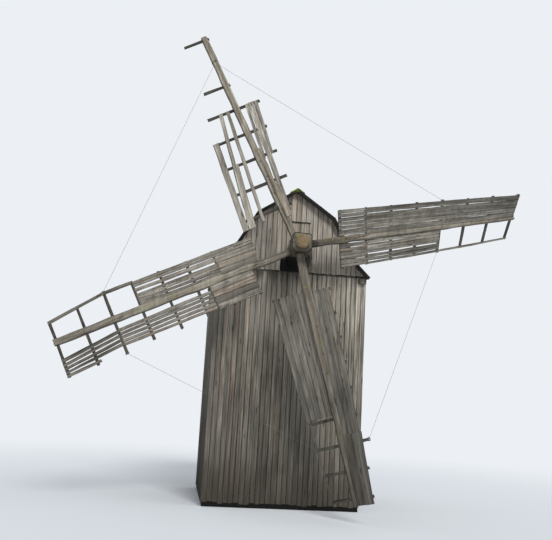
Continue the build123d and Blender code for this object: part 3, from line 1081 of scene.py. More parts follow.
@dataclass
class Cladding:
    """Upright boards over one flat face of the house."""

    name: str
    origin: Vector
    across: Vector
    outward: Vector
    span: Span
    foot: float
    top: Callable[[float], float]
    nodes: tuple[str, ...]
    slot: Slot
    material: Material
    seed: int
    nails: Nails
    rows: tuple[float, ...]
    pitch: float = 0.167
    thickness: float = 0.026
    recess: float = 0.012
    foot_wander: float = 0.035
    warm_chance: float = 0.12
    gap: Span = (0.005, 0.01)
    wander: float = 0.012
    recess_shade_tone: float = 0.3
    tone_spread: float = 0.6
    nail_side: float = 0.3
    nail_margin: Span = (0.05, 0.03)
    nail_sink: float = 0.001
    warmth: Span = (0.1, 0.45)
    least_reach: float = 0.05
    least_width: float = 0.02

    def build(self) -> None:
        """Nails up the boards one after another."""
        timbers = Timbers(self.seed)
        chance = timbers.chance
        start, end = self.span
        count = max(1, round((end - start) / self.pitch))
        edges = [start + (end - start) * n / count for n in range(count + 1)]
        for index in range(1, count):
            edges[index] += chance.uniform(-self.wander, self.wander)
        for index, (left, right) in enumerate(zip(edges, edges[1:])):
            self.board(timbers, index, left, right)
        timbers.finish(self.name, Body.HOUSE, self.slot, self.material, *self.nodes)

    def board(self, timbers: Timbers, index: int, left: float, right: float) -> None:
        """Cuts one board to the roof line and puts it up, every second one set back.

        Args:
            timbers: what it is added to.
            index: its number in the row.
            left: where its place starts across the face.
            right: where its place ends.
        """
        chance = timbers.chance
        gap = chance.uniform(*self.gap)
        middle = (left + right) / 2
        foot = self.foot + chance.uniform(-1, 1) * self.foot_wander
        width = right - left - gap
        reach = self.top(middle) - foot
        if reach < self.least_reach or width < self.least_width:
            return
        back = self.recess if index % 2 else chance.uniform(0.0, 0.003)
        stick = Stick(
            length=reach, width=width, thickness=self.thickness, cuts=max(2, int(reach * 1.2)),
            across=2, crook=0.003, bow=0.003, cup=0.004, wander=0.004, ragged_foot=0.03,
            head_line=lambda y: self.top(middle + y) - foot,
        )
        origin = self.origin + self.across * middle + Vector((0, 0, foot))
        origin -= self.outward * (self.thickness + back)
        # Every second board is set back and darker: a painted shade in the recess.
        tone = -self.recess_shade_tone if index % 2 else self.recess_shade_tone
        tone += chance.uniform(-self.tone_spread, self.tone_spread)
        warm = chance.uniform(*self.warmth) if chance.random() < self.warm_chance else 0.0
        timbers.add(stick, board_place(origin, UP, self.across, self.outward), tone, warm)
        low, high = self.nail_margin
        for row in self.rows:
            if foot + low < row < self.top(middle) - high:
                for side in (-self.nail_side, self.nail_side):
                    spot = self.origin + self.across * (middle + side * width)
                    spot += Vector((0, 0, row + chance.uniform(-self.wander, self.wander)))
                    self.nails.drive(spot - self.outward * (back - self.nail_sink), self.outward)


@dataclass
class GableCladding(Cladding):
    """The thinner boards of a gable."""

    thickness: float = 0.024
    recess: float = 0.009
    foot_wander: float = 0.008


@dataclass
class House:
    """The square boarded house, from its sill to its top plates."""

    roof: RoofProfile
    finishes: dict[str, Material]
    nails: Nails
    half: float = 2.5
    inner: float = 2.47
    foot: float = 0.12
    wall_top: float = 7.55
    kick: float = 2.2
    door_half: float = 0.45
    door_gap: float = 0.006
    door_top: float = 2.15
    rows: tuple[float, ...] = (0.2, 2.45, 4.9, 7.42)
    door_rows: tuple[float, ...] = (0.45, 1.85)
    ledge_heights: tuple[float, ...] = (0.4, 1.8)
    ledge_nails: tuple[float, ...] = (-0.3, -0.1, 0.1, 0.3)
    ledge: Triple = (0.04, 0.13, 0.025)
    handle: Triple = (0.22, 0.035, 0.03)
    handle_place: Span = (0.34, 1.0)

    def wall_line(self, x: float) -> float:
        """How high the front and back walls reach at a place across them."""
        return min(self.wall_top, self.roof.under(x) if abs(x) > self.kick else self.wall_top)

    def clad(
        self, name: str, origin: Vector, across: Vector, outward: Vector, span: Span, seed: int,
        **rest: object,
    ) -> None:
        """Puts up a run of wall boards with this house's sizes.

        Args:
            name: the wall's node.
            origin: the middle of its foot, on the ground.
            across: the direction across it.
            outward: the direction that it faces.
            span: where it starts and ends across.
            seed: the seed of its boards.
            rest: what differs from the other walls.
        """
        settings = dict(
            foot=self.foot, top=lambda _: self.wall_top, nodes=(name,), slot=Slot.WALL,
            material=self.finishes["wall"], rows=self.rows, nails=self.nails,
        )
        settings.update(rest)
        Cladding(name + "_cladding", origin, across, outward, span, seed=seed, **settings).build()

    def build(self) -> None:
        """Clads the four walls and hangs the door."""
        whole, line = (-self.half, self.half), self.wall_line
        self.clad("front_wall", BACK * -self.half, RIGHT, -BACK, whole, seed=11, top=line)
        side_top = self.roof.under(self.half)
        for name, outward, seed in (("left_wall", -RIGHT, 12), ("right_wall", RIGHT, 13)):
            self.clad(
                name, outward * self.half, BACK, outward, (-self.inner, self.inner), seed,
                top=lambda _: side_top,
            )
        foot, jamb = BACK * self.half, self.door_half
        self.clad("back_wall_left", foot, RIGHT, BACK, (-self.half, -jamb), seed=14, top=line)
        self.clad("back_wall_right", foot, RIGHT, BACK, (jamb, self.half), seed=15, top=line)
        self.clad(
            "back_wall_over", foot, RIGHT, BACK, (-jamb, jamb), seed=16, foot=self.door_top,
            foot_wander=0.0,
        )
        self.door(jamb - self.door_gap)

    def door(self, leaf: float) -> None:
        """Boards the door and puts on its ledges and its handle.

        Args:
            leaf: half the door's width.
        """
        self.clad(
            "back_door", BACK * self.half, RIGHT, BACK, (-leaf, leaf), seed=17,
            top=lambda _: self.door_top - self.door_gap, recess=0.004, foot_wander=0.004,
            rows=self.door_rows, pitch=0.18, material=self.finishes["door"],
        )
        timbers = Timbers(seed=18)
        inset, width, thickness = self.ledge
        ledge = Stick(2 * (leaf - inset), width, thickness, cuts=6, across=2, wander=0.003)
        for height in self.ledge_heights:
            origin = Vector((inset - leaf, self.half, height))
            timbers.add(ledge, board_place(origin, RIGHT, UP, BACK), 0.2)
            for x in self.ledge_nails:
                self.nails.drive(Vector((x, self.half + thickness + 0.001, height)), BACK)
        x, height = self.handle_place
        handle = Stick(*self.handle, chamfer=0.01, cuts=4, bow=0.012)
        timbers.add(handle, board_place(Vector((x, self.half, height)), UP, RIGHT, BACK), -0.6)
        timbers.finish("back_door_ledges", Body.HOUSE, Slot.WALL, self.finishes["door"], "back_door")


@dataclass
class FrontGable:
    """The boarded front gable round the windshaft, with its infill and its hatch."""

    roof: RoofProfile
    finishes: dict[str, Material]
    nails: Nails
    face: float = -2.53
    foot: float = 7.55
    hole_half: float = 0.43
    hole_top: float = 8.4
    slot: Span = (-0.11, 0.49)
    hatch: Span = (-0.14, 0.52)
    hatch_foot: float = 9.21
    infill_top: float = 9.26
    edge: float = 2.46
    left_drop: float = 0.26
    seam: float = 0.6
    hatch_board: float = 0.024
    ledge: Span = (0.03, 0.014)

    def run(
        self, name: str, node: str, spans: Sequence[tuple[float, float, float, Optional[float]]],
        seed: int, proud: float = 0.0, **rest: float,
    ) -> None:
        """Clads a field of the gable.

        Args:
            name: the piece's name.
            node: the node that it stands for.
            spans: left, right, foot and top of each run of boards, where no top means the roof.
            seed: the seed of its boards.
            proud: how far it stands in front of the gable.
            rest: the width of a board, and the share of boards that have a warm colour.
        """
        settings = {"pitch": 0.165, **rest}
        rows = (self.foot + 0.12, self.hole_top + 0.1, self.hatch_foot + 0.12)
        timbers = Timbers(seed)
        for left, right, foot, top in spans:
            line = (lambda x: self.roof.under(x) - 0.004) if top is None else (lambda x, t=top: t)
            boards = GableCladding(
                name, BACK * (self.face - proud), RIGHT, -BACK, (left, right), foot, line, (node,),
                Slot.GABLE, self.finishes["gable"], seed, self.nails, rows, **settings,
            )
            count = max(1, round((right - left) / boards.pitch))
            edges = [left + (right - left) * index / count for index in range(count + 1)]
            for index, (start, end) in enumerate(zip(edges, edges[1:])):
                boards.board(timbers, index + (seed % 2), start, end)
        timbers.finish(name, Body.HOUSE, Slot.GABLE, self.finishes["gable"], node)

    def build(self) -> None:
        """Clads both halves, the infill over the shaft and the hatch, and the hatch's ledge."""
        (low, high), half, edge = self.slot, self.hole_half, self.edge
        foot, hole_top = self.foot, self.hole_top
        self.run(
            "front_gable_left_cladding", "front_gable_left",
            [(-edge, -half, foot, None), (-half, low, hole_top - self.left_drop, None)], seed=21,
        )
        self.run(
            "front_gable_right_cladding", "front_gable_right",
            [
                (half, self.seam, foot, hole_top), (high, self.seam, hole_top, None),
                (self.seam, edge, foot, None),
            ],
            seed=22,
        )
        self.run(
            "gable_infill_boards", "gable_infill", [(low, high, hole_top, self.infill_top)],
            seed=23, proud=-0.003, pitch=0.3, warm_chance=0.5,
        )
        self.run(
            "gable_hatch_boards", "gable_hatch", [(*self.hatch, self.hatch_foot, None)],
            seed=24, proud=self.hatch_board, warm_chance=0.35,
        )
        # The hatch's ledge takes the dark verge finish, a painted shade under the hatch.
        timbers = Timbers(seed=25)
        left, right = self.hatch
        width, thickness = self.ledge
        origin = Vector((left, self.face - self.hatch_board - 0.002, self.hatch_foot + 0.025))
        ledge = Stick(right - left, width, thickness, cuts=4)
        timbers.add(ledge, board_place(origin, RIGHT, UP, -BACK), 0.0)
        timbers.finish(
            "gable_hatch_ledge", Body.HOUSE, Slot.GABLE, self.finishes["verge"], "gable_hatch"
        )


@dataclass
class BackGable:
    """The plain boarded back gable."""

    roof: RoofProfile
    finishes: dict[str, Material]
    nails: Nails
    face: float = 2.53
    foot: float = 7.55
    edge: float = 2.46

    def build(self) -> None:
        """Clads the gable from side to side."""
        GableCladding(
            "back_gable_cladding", BACK * self.face, RIGHT, BACK, (-self.edge, self.edge),
            self.foot, lambda x: self.roof.under(x) - 0.004, ("back_gable",), Slot.GABLE,
            self.finishes["gable"], 31, self.nails, (self.foot + 0.12,), gap=(0.0005, 0.002),
        ).build()


@dataclass
class Roof:
    """The double layer of boards on each slope, the ridge boards and the verges."""

    profile: RoofProfile
    finishes: dict[str, Material]
    half: float = 2.75
    pitch: float = 0.19
    board: float = 0.026
    verge_depth: float = 0.11
    verge_board: float = 0.03
    cap_run: float = 0.23
    cap_board: float = 0.028
    cap_joint: Span = (0.35, 0.36)
    cap_lap: float = 1.2
    lap: float = 0.03
    layer_gap: float = 0.004
    joint: Span = (0.004, 0.012)
    cover_share: float = 0.82
    eave_step: float = 0.02

    def slope(self, side: int, index: int) -> tuple[Vector, Vector, Vector, float]:
        """Measures one slope of the roof.

        Args:
            side: 1 for the right, -1 for the left.
            index: the slope's number from the ridge down.

        Returns:
            Its upper corner, its fall, its outward direction and its length.
        """
        (xa, za), (xb, zb) = self.profile.corners[index:index + 2]
        top, foot = Vector((side * xa, 0, za)), Vector((side * xb, 0, zb))
        fall = (foot - top).normalized()
        outward = -BACK.cross(fall) * side
        return top, fall, outward, (foot - top).length

    def build(self) -> None:
        """Lays the slopes, then the verges and the ridge."""
        for side, word in ((1, "right"), (-1, "left")):
            for index, level in enumerate(("upper", "lower", "eave")):
                self.lay(side, word, index, level)
            self.verges(side, word)
        self.ridge()

    def lay(self, side: int, word: str, index: int, level: str) -> None:
        """Lays one slope: a lower layer, and upper boards over its joints.

        Args:
            side: 1 for the right, -1 for the left.
            word: the side's name.
            index: the slope's number from the ridge down.
            level: the slope's name.
        """
        top, fall, outward, length = self.slope(side, index)
        timbers = Timbers(40 + 3 * index + (side + 1) // 2)
        chance = timbers.chance
        last = index == 2
        lap = self.lap if index else 0.0
        count = round(2 * self.half / self.pitch)
        step = 2 * self.half / count
        for layer, depth in ((0, 2 * self.board + self.layer_gap), (1, self.board)):
            for number in range(count + layer):
                middle = -self.half + (number + 0.5 - 0.5 * layer) * step
                width = step * self.cover_share if layer else step - chance.uniform(*self.joint)
                left = max(middle - width / 2, -self.half)
                right = min(middle + width / 2, self.half)
                stick = Stick(
                    length=length + lap - (self.eave_step if last and not layer else 0.0),
                    width=right - left, thickness=self.board, cuts=max(1, int(length * 2)),
                    across=2, cup=0.004, wander=0.003, ragged_head=0.02 if last else 0.008,
                )
                origin = top - fall * lap - outward * depth + Vector((0, (left + right) / 2, 0))
                timbers.add(stick, board_place(origin, fall, BACK, outward))
        name = f"roof_{word}_{level}"
        timbers.finish(name + "_boards", Body.HOUSE, Slot.ROOF, self.finishes["roof"], name)

    def verges(self, side: int, word: str) -> None:
        """Nails a board along the edge of each slope at the front and at the back.

        Args:
            side: 1 for the right, -1 for the left.
            word: the side's name.
        """
        for place_y, end in ((-self.half - self.verge_board, "front"), (self.half, "back")):
            timbers = Timbers(60 + side + (2 if end == "front" else 6))
            for index in range(3):
                top, fall, outward, length = self.slope(side, index)
                stick = Stick(
                    length=length, width=self.verge_board, thickness=self.verge_depth, cuts=3,
                    across=0, wander=0.004,
                )
                origin = top - outward * self.verge_depth
                origin.y = place_y + self.verge_board / 2
                timbers.add(stick, board_place(origin, fall, BACK, outward))
            name = f"{end}_verge_{word}"
            # The dark verge finish is painted shade under the roof's edge.
            timbers.finish(name + "_boards", Body.HOUSE, Slot.ROOF, self.finishes["verge"], name)

    def ridge(self) -> None:
        """Lays the two ridge boards, grown over with moss."""
        timbers = Timbers(seed=70)
        end = self.half + self.verge_board
        for side in (1, -1):
            top, fall, outward, _ = self.slope(side, 0)
            for near, far in ((-end, self.cap_joint[0]), (self.cap_joint[1], end)):
                stick = Stick(
                    length=far - near, width=self.cap_run * self.cap_lap, thickness=self.cap_board,
                    cuts=6, across=2, cup=0.003, wander=0.006, crook=0.003,
                )
                middle = top + fall * self.cap_run * (self.cap_lap / 2)
                origin = Vector((middle.x, near, middle.z)) + outward * 0.004
                timbers.add(stick, board_place(origin, BACK, fall, outward))
        timbers.finish("ridge_boards", Body.HOUSE, Slot.ROOF, self.finishes["ridge"], "ridge_cap")


@dataclass
class FrameTimbers:
    """The hewn sill, plates and posts, and the beams that carry the windshaft."""

    finishes: dict[str, Material]
    kept: dict[str, Grain] = field(default_factory=lambda: {
        "corner_posts": Grain.Z, "plate_front": Grain.X, "plate_back": Grain.X,
        "door_posts": Grain.Z, "door_lintel": Grain.X, "tail_beam": Grain.X,
    })
    # These nodes take the near-black bearing finish: greasy dirt and a painted deep shade in the shaft's
    # opening.
    greased_shaded: tuple[str, ...] = ("neck_beam", "neck_block")
    half: float = 2.47
    sill_width: float = 0.26
    sill_height: float = 0.26
    plate_width: float = 0.25
    plate_height: float = 0.18
    plate_bottom: float = 7.31
    stub: float = 0.16

    def build(self, frame: dict) -> None:
        """Finishes the nodes that are kept, and hews the sill and the long plates.

        Args:
            frame: what the frame was loaded as.
        """
        for name, grain in self.kept.items():
            dress(frame, name, self.finishes["frame_" + grain.value])
        for name in self.greased_shaded:
            dress(frame, name, self.finishes["greased_shaded"])
        self.sill()
        for sign, word in ((-1, "left"), (1, "right")):
            self.plate(sign, word)

    def sill(self) -> None:
        """Four hewn beams, halved into each other at the corners."""
        timbers = Timbers(seed=81)
        half, depth, height = self.half, self.sill_width, self.sill_height
        middle = half - depth / 2
        for sign in (-1, 1):
            for origin, along, across, length, thickness in (
                (Vector((-half, sign * middle, 0)), RIGHT, BACK, 2 * half, height),
                (
                    Vector((sign * middle, depth - half, 0)), BACK, -RIGHT, 2 * (half - depth),
                    height - 0.004,
                ),
            ):
                beam = Stick(length, depth, thickness, chamfer=0.015, cuts=8, wander=0.008)
                timbers.add(beam, board_place(origin, along, across, UP), -0.4)
        # The sill's nearly black finish is damp and painted shade under the boards.
        timbers.finish("sill_beams", Body.HOUSE, Slot.FRAME, self.finishes["sill"], "sill_frame")

    def plate(self, sign: int, word: str) -> None:
        """Hews one long plate, whose end stands out under the gable.

        Args:
            sign: 1 for the right, -1 for the left.
            word: the side's name.
        """
        timbers = Timbers(83 + sign)
        beam = Stick(
            2 * self.half + self.stub, self.plate_width, self.plate_height, chamfer=0.02, cuts=8,
            wander=0.008, ragged_foot=0.02,
        )
        middle = sign * (self.half - self.plate_width / 2)
        origin = Vector((middle, -self.half - self.stub, self.plate_bottom))
        timbers.add(beam, board_place(origin, BACK, -RIGHT, UP), 0.2)
        timbers.finish(
            f"plate_{word}_beam", Body.HOUSE, Slot.FRAME, self.finishes["frame_map"], f"plate_{word}"
        )


# Rotor


@dataclass(frozen=True)
class Hub:
    """The rotor's own frame: X to the right, Y along the shaft to its tail, Z up across it."""

    centre: Triple = (0.0, -3.88, 8.17)
    tilt: float = math.radians(6.9)

    def matrix(self) -> Matrix:
        """The turn and the move from the rotor's frame to the mill's."""
        return Matrix.Translation(Vector(self.centre)) @ Matrix.Rotation(-self.tilt, 4, "X")

    def mill(self, spot: Vector) -> Vector:
        """Brings a point from the rotor's frame into the mill's.

        Args:
            spot: the point in the rotor's frame.

        Returns:
            The point in the mill's frame.
        """
        x, y, z = spot
        cos_tilt, sin_tilt = math.cos(self.tilt), math.sin(self.tilt)
        turned = Vector((x, y * cos_tilt + z * sin_tilt, z * cos_tilt - y * sin_tilt))
        return Vector(self.centre) + turned


HUB = Hub()
LOG_END, LOG_NECK = 1, 2


@dataclass
class Windshaft:
    """The hewn log that carries the sails: a squared head, a round nose and a tapering shaft."""

    finishes: dict[str, Material]
    head_half: float = 0.3
    head: Span = (-0.33, 0.33)
    nose_radius: float = 0.165
    nose_length: float = 0.13
    neck_radius: float = 0.249
    neck_end: float = 1.93
    shoulder: float = 4.95
    shoulder_radius: float = 0.16
    tail_radius: float = 0.129
    tail_end: float = 5.35
    sides: int = 32
    corner: float = 0.08
    axe_marks: float = 0.012
    ring_inset: float = 0.035

    def stations(self) -> list[tuple[float, float, float]]:
        """Lists the rings that the log is hewn through.

        Returns:
            Each ring's place along the shaft, its half width, and how square it is from 0 to 1.
        """
        front, back = self.head
        nose = front - self.nose_length
        rings = [
            (nose, self.nose_radius - 0.015, 0.0), (nose + 0.012, self.nose_radius, 0.0),
            (nose + 0.06, self.nose_radius + 0.045, 0.15), (front, self.head_half - 0.045, 0.55),
            (front + 0.03, self.head_half - 0.01, 0.9),
        ]
        rings += [(front + 0.03 + 0.06 * n, self.head_half, 1.0) for n in range(1, 10)]
        rings += [(back - 0.03, self.head_half, 1.0), (back, self.head_half - 0.03, 0.75)]
        rings += [(back + 0.015, self.neck_radius, 0.0)]
        rings += [
            (back + 0.02 + (self.neck_end - back - 0.02) * n / 8, self.neck_radius, 0.0)
            for n in range(1, 9)
        ]
        rings += [
            (self.neck_end + (self.shoulder - self.neck_end) * n / 10,
             self.neck_radius + (self.shoulder_radius - self.neck_radius) * n / 10, 0.0)
            for n in range(1, 11)
        ]
        rings += [(self.shoulder + 0.005, self.tail_radius, 0.0), (self.tail_end, self.tail_radius, 0.0)]
        return rings

    def ring_point(self, along: float, half: float, square: float, angle: float) -> Vector:
        """One point of a ring, between a circle and a square with its corners cut.

        Args:
            along: the ring's place along the shaft.
            half: its half width.
            square: how square it is, from 0 to 1.
            angle: where the point lies round it.

        Returns:
            The point in the rotor's frame.
        """
        cos_angle, sin_angle = math.cos(angle), math.sin(angle)
        flat = half / max(abs(cos_angle), abs(sin_angle))
        cut = (2 * half - self.corner) / (abs(cos_angle) + abs(sin_angle))
        radius = half + (min(flat, cut) - half) * square
        axe = noise.noise(Vector((math.cos(angle) * 2.2, math.sin(angle) * 2.2, along * 3.1 + 7)))
        rough = 0.0 if along > self.head[1] else self.axe_marks
        radius += axe * rough * (1.0 if square else 0.6)
        return Vector((radius * cos_angle, along, radius * sin_angle))

    @staticmethod
    def map_fibres(face: bmesh.types.BMFace, fibre: bmesh.types.BMLayerItem) -> None:
        """Lays the fibres along the shaft, and in rings round its ends.

        Args:
            face: one face of the log.
            fibre: the fibre map.
        """
        middle = face.calc_center_median()
        seam = middle.x < 0 < middle.z
        for corner in face.loops:
            x, y, z = corner.vert.co
            around = math.atan2(z, x)
            if abs(face.normal.y) > 0.99:
                corner[fibre].uv = (around * 0.12 + 5, math.hypot(x, z) * 2.5)
            else:
                turn = around + (math.tau if around < 0 and seam else 0.0)
                corner[fibre].uv = (y, turn * 0.27)

    def build(self) -> None:
        """Hews the log from ring to ring and dresses its two ends."""
        mesh = bmesh.new()
        fibre, *_ = Timbers.layers(mesh)
        angles = [math.tau * side / self.sides for side in range(self.sides)]
        rings = [[self.ring_point(*ring, angle) for angle in angles] for ring in self.stations()]
        draw_through(mesh, rings)
        bmesh.ops.recalc_face_normals(mesh, faces=mesh.faces)
        ends = [face for face in mesh.faces if abs(face.normal.y) > 0.99]
        for face in mesh.faces:
            if abs(face.normal.y) > 0.99 or face.calc_center_median().y < self.head[0] - 0.07:
                face.material_index = LOG_END
        for _ in range(3):
            bmesh.ops.inset_individual(mesh, faces=ends, thickness=self.ring_inset, depth=0.0)
        for face in mesh.faces:
            self.map_fibres(face, fibre)
            # The neck behind the head takes the near-black neck finish, a painted deep shade in the
            # gable's opening.
            if face.calc_center_median().y > self.head[1] - 0.01:
                face.material_index = LOG_NECK
        bmesh.ops.transform(mesh, matrix=HUB.matrix(), verts=mesh.verts)
        materials = [self.finishes[name] for name in ("shaft", "end", "greased_shaded_log")]
        make_piece(mesh, "windshaft_log", Body.ROTOR, Slot.SHAFT, materials, "windshaft")


@dataclass(frozen=True)
class BoardRun:
    """One sail board: its edges along the bar, its first and last bar, and where it runs askew."""

    low: float
    high: float
    first: float
    last: float
    low_end: float
    high_end: float
    layer: int = 0


def runs(*boards: tuple[float, ...]) -> tuple[BoardRun, ...]:
    """Several boards, written in millimetres along the bar.

    Args:
        boards: low and high edge, first and last bar, then low and high edge at the last bar where
            they differ, and 1 where the board lies on top of others.

    Returns:
        The boards.
    """
    made = []
    for low, high, first, last, *rest in boards:
        low_end, high_end, *layer = rest or (low, high)
        made.append(BoardRun(
            low / 1000, high / 1000, first, last, low_end / 1000, high_end / 1000, *layer
        ))
    return tuple(made)


def bar_ends(*ends: Optional[tuple[float, float]]) -> tuple[Optional[Span], ...]:
    """The ends of each bar from the head outwards, written in millimetres, or None for no bar."""
    return tuple(None if pair is None else (pair[0] / 1000, pair[1] / 1000) for pair in ends)


@dataclass
class Sail:
    """One lattice sail: a hewn whip, the bars through it and the boards that are left on them."""

    name: str
    angle: float
    length: float
    offset: float
    axial: float
    first_bar: float
    heel: float
    tip: float
    bars: tuple[Optional[Span], ...]
    boards: tuple[BoardRun, ...]
    seed: int
    warm_boards: tuple[int, ...] = ()
    tones: dict[int, float] = field(default_factory=dict)
    pale: float = 0.0
    whip_tone: float = 0.0
    stock: float = 0.0
    stock_start: float = 0.36
    stock_width: float = 0.13
    stock_shift: float = 0.012
    root: float = 0.2
    tip_width: float = 0.165
    start: float = 0.11
    last_inset: float = 0.11
    bar_width: float = 0.092
    bar_thickness: float = 0.05
    board_thickness: float = 0.022
    lap: float = 0.052
    peg_width: float = 0.022
    peg_proud: float = 0.015
    peg_beside: float = 0.055
    stock_pegs: tuple[float, ...] = (0.12, 0.36, 0.6, 0.82)
    wide_board: float = 0.12
    hewn: float = 0.022
    stock_thickness: Span = (0.05, 0.03)
    stock_taper: float = 0.66
    stock_bed: float = 0.008
    stock_peg: Triple = (0.05, 0.045, 0.045)
    stock_peg_front: float = 0.062
    nail_head: float = 0.006
    nail_wander: float = 0.012

    @property
    def last_bar(self) -> float:
        """How far out the last bar is."""
        return self.length - self.last_inset

    def bar_place(self, number: float) -> float:
        """How far out a bar is, or a place between two bars."""
        return self.first_bar + (self.last_bar - self.first_bar) * number / (len(self.bars) - 1)

    def weather(self, out: float) -> float:
        """The sail's angle to the plane of the sails at a distance out, in radians."""
        share = min(max((out - self.first_bar) / (self.last_bar - self.first_bar), 0.0), 1.0)
        return math.radians(self.heel + (self.tip - self.heel) * share)

    def whip_point(self, spot: Vector) -> Vector:
        """Brings a point from the sail's own frame into the mill's.

        Args:
            spot: the point out along the whip, back from its middle and across it.

        Returns:
            The point in the mill's frame.
        """
        turn = math.radians(self.angle)
        x, y, z = spot.x, spot.y + self.axial, spot.z + self.offset
        return HUB.mill(Vector((
            x * math.cos(turn) - z * math.sin(turn), y, x * math.sin(turn) + z * math.cos(turn)
        )))

    def on_bars(self, out: float, chord: float, proud: float, place: Optional[float] = None) -> Vector:
        """A point given along the whip, along the bar and proud of its middle."""
        turn = self.weather(out if place is None else place)
        return self.whip_point(Vector((
            out, -math.sin(turn) * chord - math.cos(turn) * proud,
            math.cos(turn) * chord - math.sin(turn) * proud,
        )))

    def facing(self, out: float) -> Vector:
        """The direction that the sail's front faces at a distance out."""
        return (self.on_bars(out, 0.0, 1.0) - self.on_bars(out, 0.0, 0.0)).normalized()

    def build(self, finishes: dict[str, Material], nails: Nails) -> None:
        """Hews the whip, drives the bars through it and nails the boards on.

        Args:
            finishes: the mill's materials by name.
            nails: what gathers the nails.
        """
        self.whip(finishes)
        self.bar_timbers(finishes)
        self.cover(finishes, nails)

    def half_width(self, out: float) -> float:
        """Half the whip's width at a distance out."""
        share = (out - self.start) / (self.length - self.start)
        return (self.root + (self.tip_width - self.root) * share) / 2

    def peg_place(self, out: float, front: float, side: float) -> Placer:
        """Says where a peg goes that is driven through from the whip's front.

        Args:
            out: how far out its middle lies.
            front: where it starts, back from the whip's middle.
            side: where it starts across the whip.

        Returns:
            What puts each of its points there.
        """
        origin = Vector((out, front, side))

        def place(spot: Vector) -> Vector:
            """The place of one point."""
            return self.whip_point(origin + Vector((spot.y, spot.x, spot.z)))

        return place

    def whip(self, finishes: dict[str, Material]) -> None:
        """Hews the tapered whip, a little bent, with the pegs that hold its bars.

        Args:
            finishes: the mill's materials by name.
        """
        timbers = Timbers(self.seed)
        stick = Stick(
            length=self.length - self.start, width=self.root, thickness=self.root,
            width_head=self.tip_width, thickness_head=self.tip_width, chamfer=self.hewn, cuts=26,
            wander=self.hewn, ragged_head=0.05,
        )

        def place(spot: Vector) -> Vector:
            """The whip's middle brought onto the sail's axis."""
            out = spot.x + self.start
            return self.whip_point(Vector((out, self.half_width(out) - spot.z, spot.y)))

        timbers.add(stick, place, self.whip_tone)
        if self.stock:
            self.stock_timber(timbers)
        proud, thick = self.peg_proud, self.peg_width
        for number in range(len(self.bars)):
            out = self.bar_place(number)
            half = self.half_width(out)
            peg = Stick(2 * (half + proud), thick, thick, chamfer=0.006, cuts=1, across=0)
            timbers.add(
                peg, self.peg_place(out + self.peg_beside, -half - proud, -thick / 2), -0.5
            )
        timbers.finish(
            f"{self.name}_whip_timber", Body.ROTOR, Slot.SAIL_TIMBER, finishes["sail_timber"],
            f"{self.name}_whip",
        )

    def stock_timber(self, timbers: Timbers) -> None:
        """Pegs a strip, broken off outside, on the front of the whip's inner end.

        Args:
            timbers: the whip's timbers.
        """
        start = self.stock_start
        foot, head = self.stock_thickness
        strip = Stick(
            length=self.stock - start, width=self.stock_width, thickness=foot, chamfer=0.012,
            cuts=12, across=2, wander=self.hewn, crook=0.012, ragged_head=0.16,
            width_head=self.stock_width * self.stock_taper, thickness_head=head,
        )

        def place(spot: Vector) -> Vector:
            """The strip's place on the front of the whip."""
            proud = self.half_width(spot.x + start) - self.stock_bed + spot.z
            return self.whip_point(Vector((spot.x + start, -proud, spot.y + self.stock_shift)))

        timbers.add(strip, place, self.whip_tone - 0.3, 0.25)
        for share in self.stock_pegs:
            out = start + (self.stock - start) * share
            peg = Stick(*self.stock_peg, chamfer=0.012, cuts=1, across=0)
            front = -self.half_width(out) - self.stock_peg_front
            timbers.add(peg, self.peg_place(out, front, -0.01), -0.8)

    def bar_timbers(self, finishes: dict[str, Material]) -> None:
        """Makes the bars, each turned to its own weather angle.

        Args:
            finishes: the mill's materials by name.
        """
        timbers = Timbers(self.seed + 1)
        chance = timbers.chance
        for number, ends in enumerate(self.bars):
            if ends is None:
                continue
            out = self.bar_place(number)
            trail, lead = ends
            stick = Stick(
                length=lead - trail, width=self.bar_width, thickness=self.bar_thickness,
                chamfer=0.008, wander=0.008, crook=0.008, ragged_foot=0.03, ragged_head=0.03,
            )

            def place(spot: Vector, out: float = out, trail: float = trail) -> Vector:
                """The bar's place along and across the sail."""
                proud = spot.z - self.bar_thickness / 2
                return self.on_bars(out + spot.y, spot.x + trail, proud, out)

            timbers.add(stick, place, chance.uniform(-0.4, 0.7))
        timbers.finish(
            f"{self.name}_bar_timbers", Body.ROTOR, Slot.SAIL_TIMBER, finishes["bar"],
            f"{self.name}_bars",
        )

    def cover(self, finishes: dict[str, Material], nails: Nails) -> None:
        """Nails on the boards, which follow the sail's twist.

        Args:
            finishes: the mill's materials by name.
            nails: what gathers the nails.
        """
        timbers = Timbers(self.seed + 2)
        chance = timbers.chance
        for index, board in enumerate(self.boards):
            start = self.bar_place(board.first) - self.lap
            end = self.bar_place(board.last) + self.lap
            width = board.high - board.low
            under = self.bar_thickness / 2 + board.layer * self.board_thickness
            stick = Stick(
                length=end - start, width=width - 0.004, thickness=self.board_thickness,
                cuts=max(6, int((end - start) * 4)), across=2 if width > self.wide_board else 1,
                cup=0.008, wander=0.008, crook=0.006, ragged_foot=0.012, ragged_head=0.012,
                width_head=board.high_end - board.low_end,
            )
            middle = (board.low + board.high) / 2
            drift = (board.low_end + board.high_end) / 2 - middle

            def place(
                spot: Vector, start: float = start, run: float = end - start,
                middle: float = middle, drift: float = drift, under: float = under,
            ) -> Vector:
                """The board's place on the front of the bars."""
                chord = middle + drift * spot.x / run + spot.y
                return self.on_bars(start + spot.x, chord, under + spot.z)

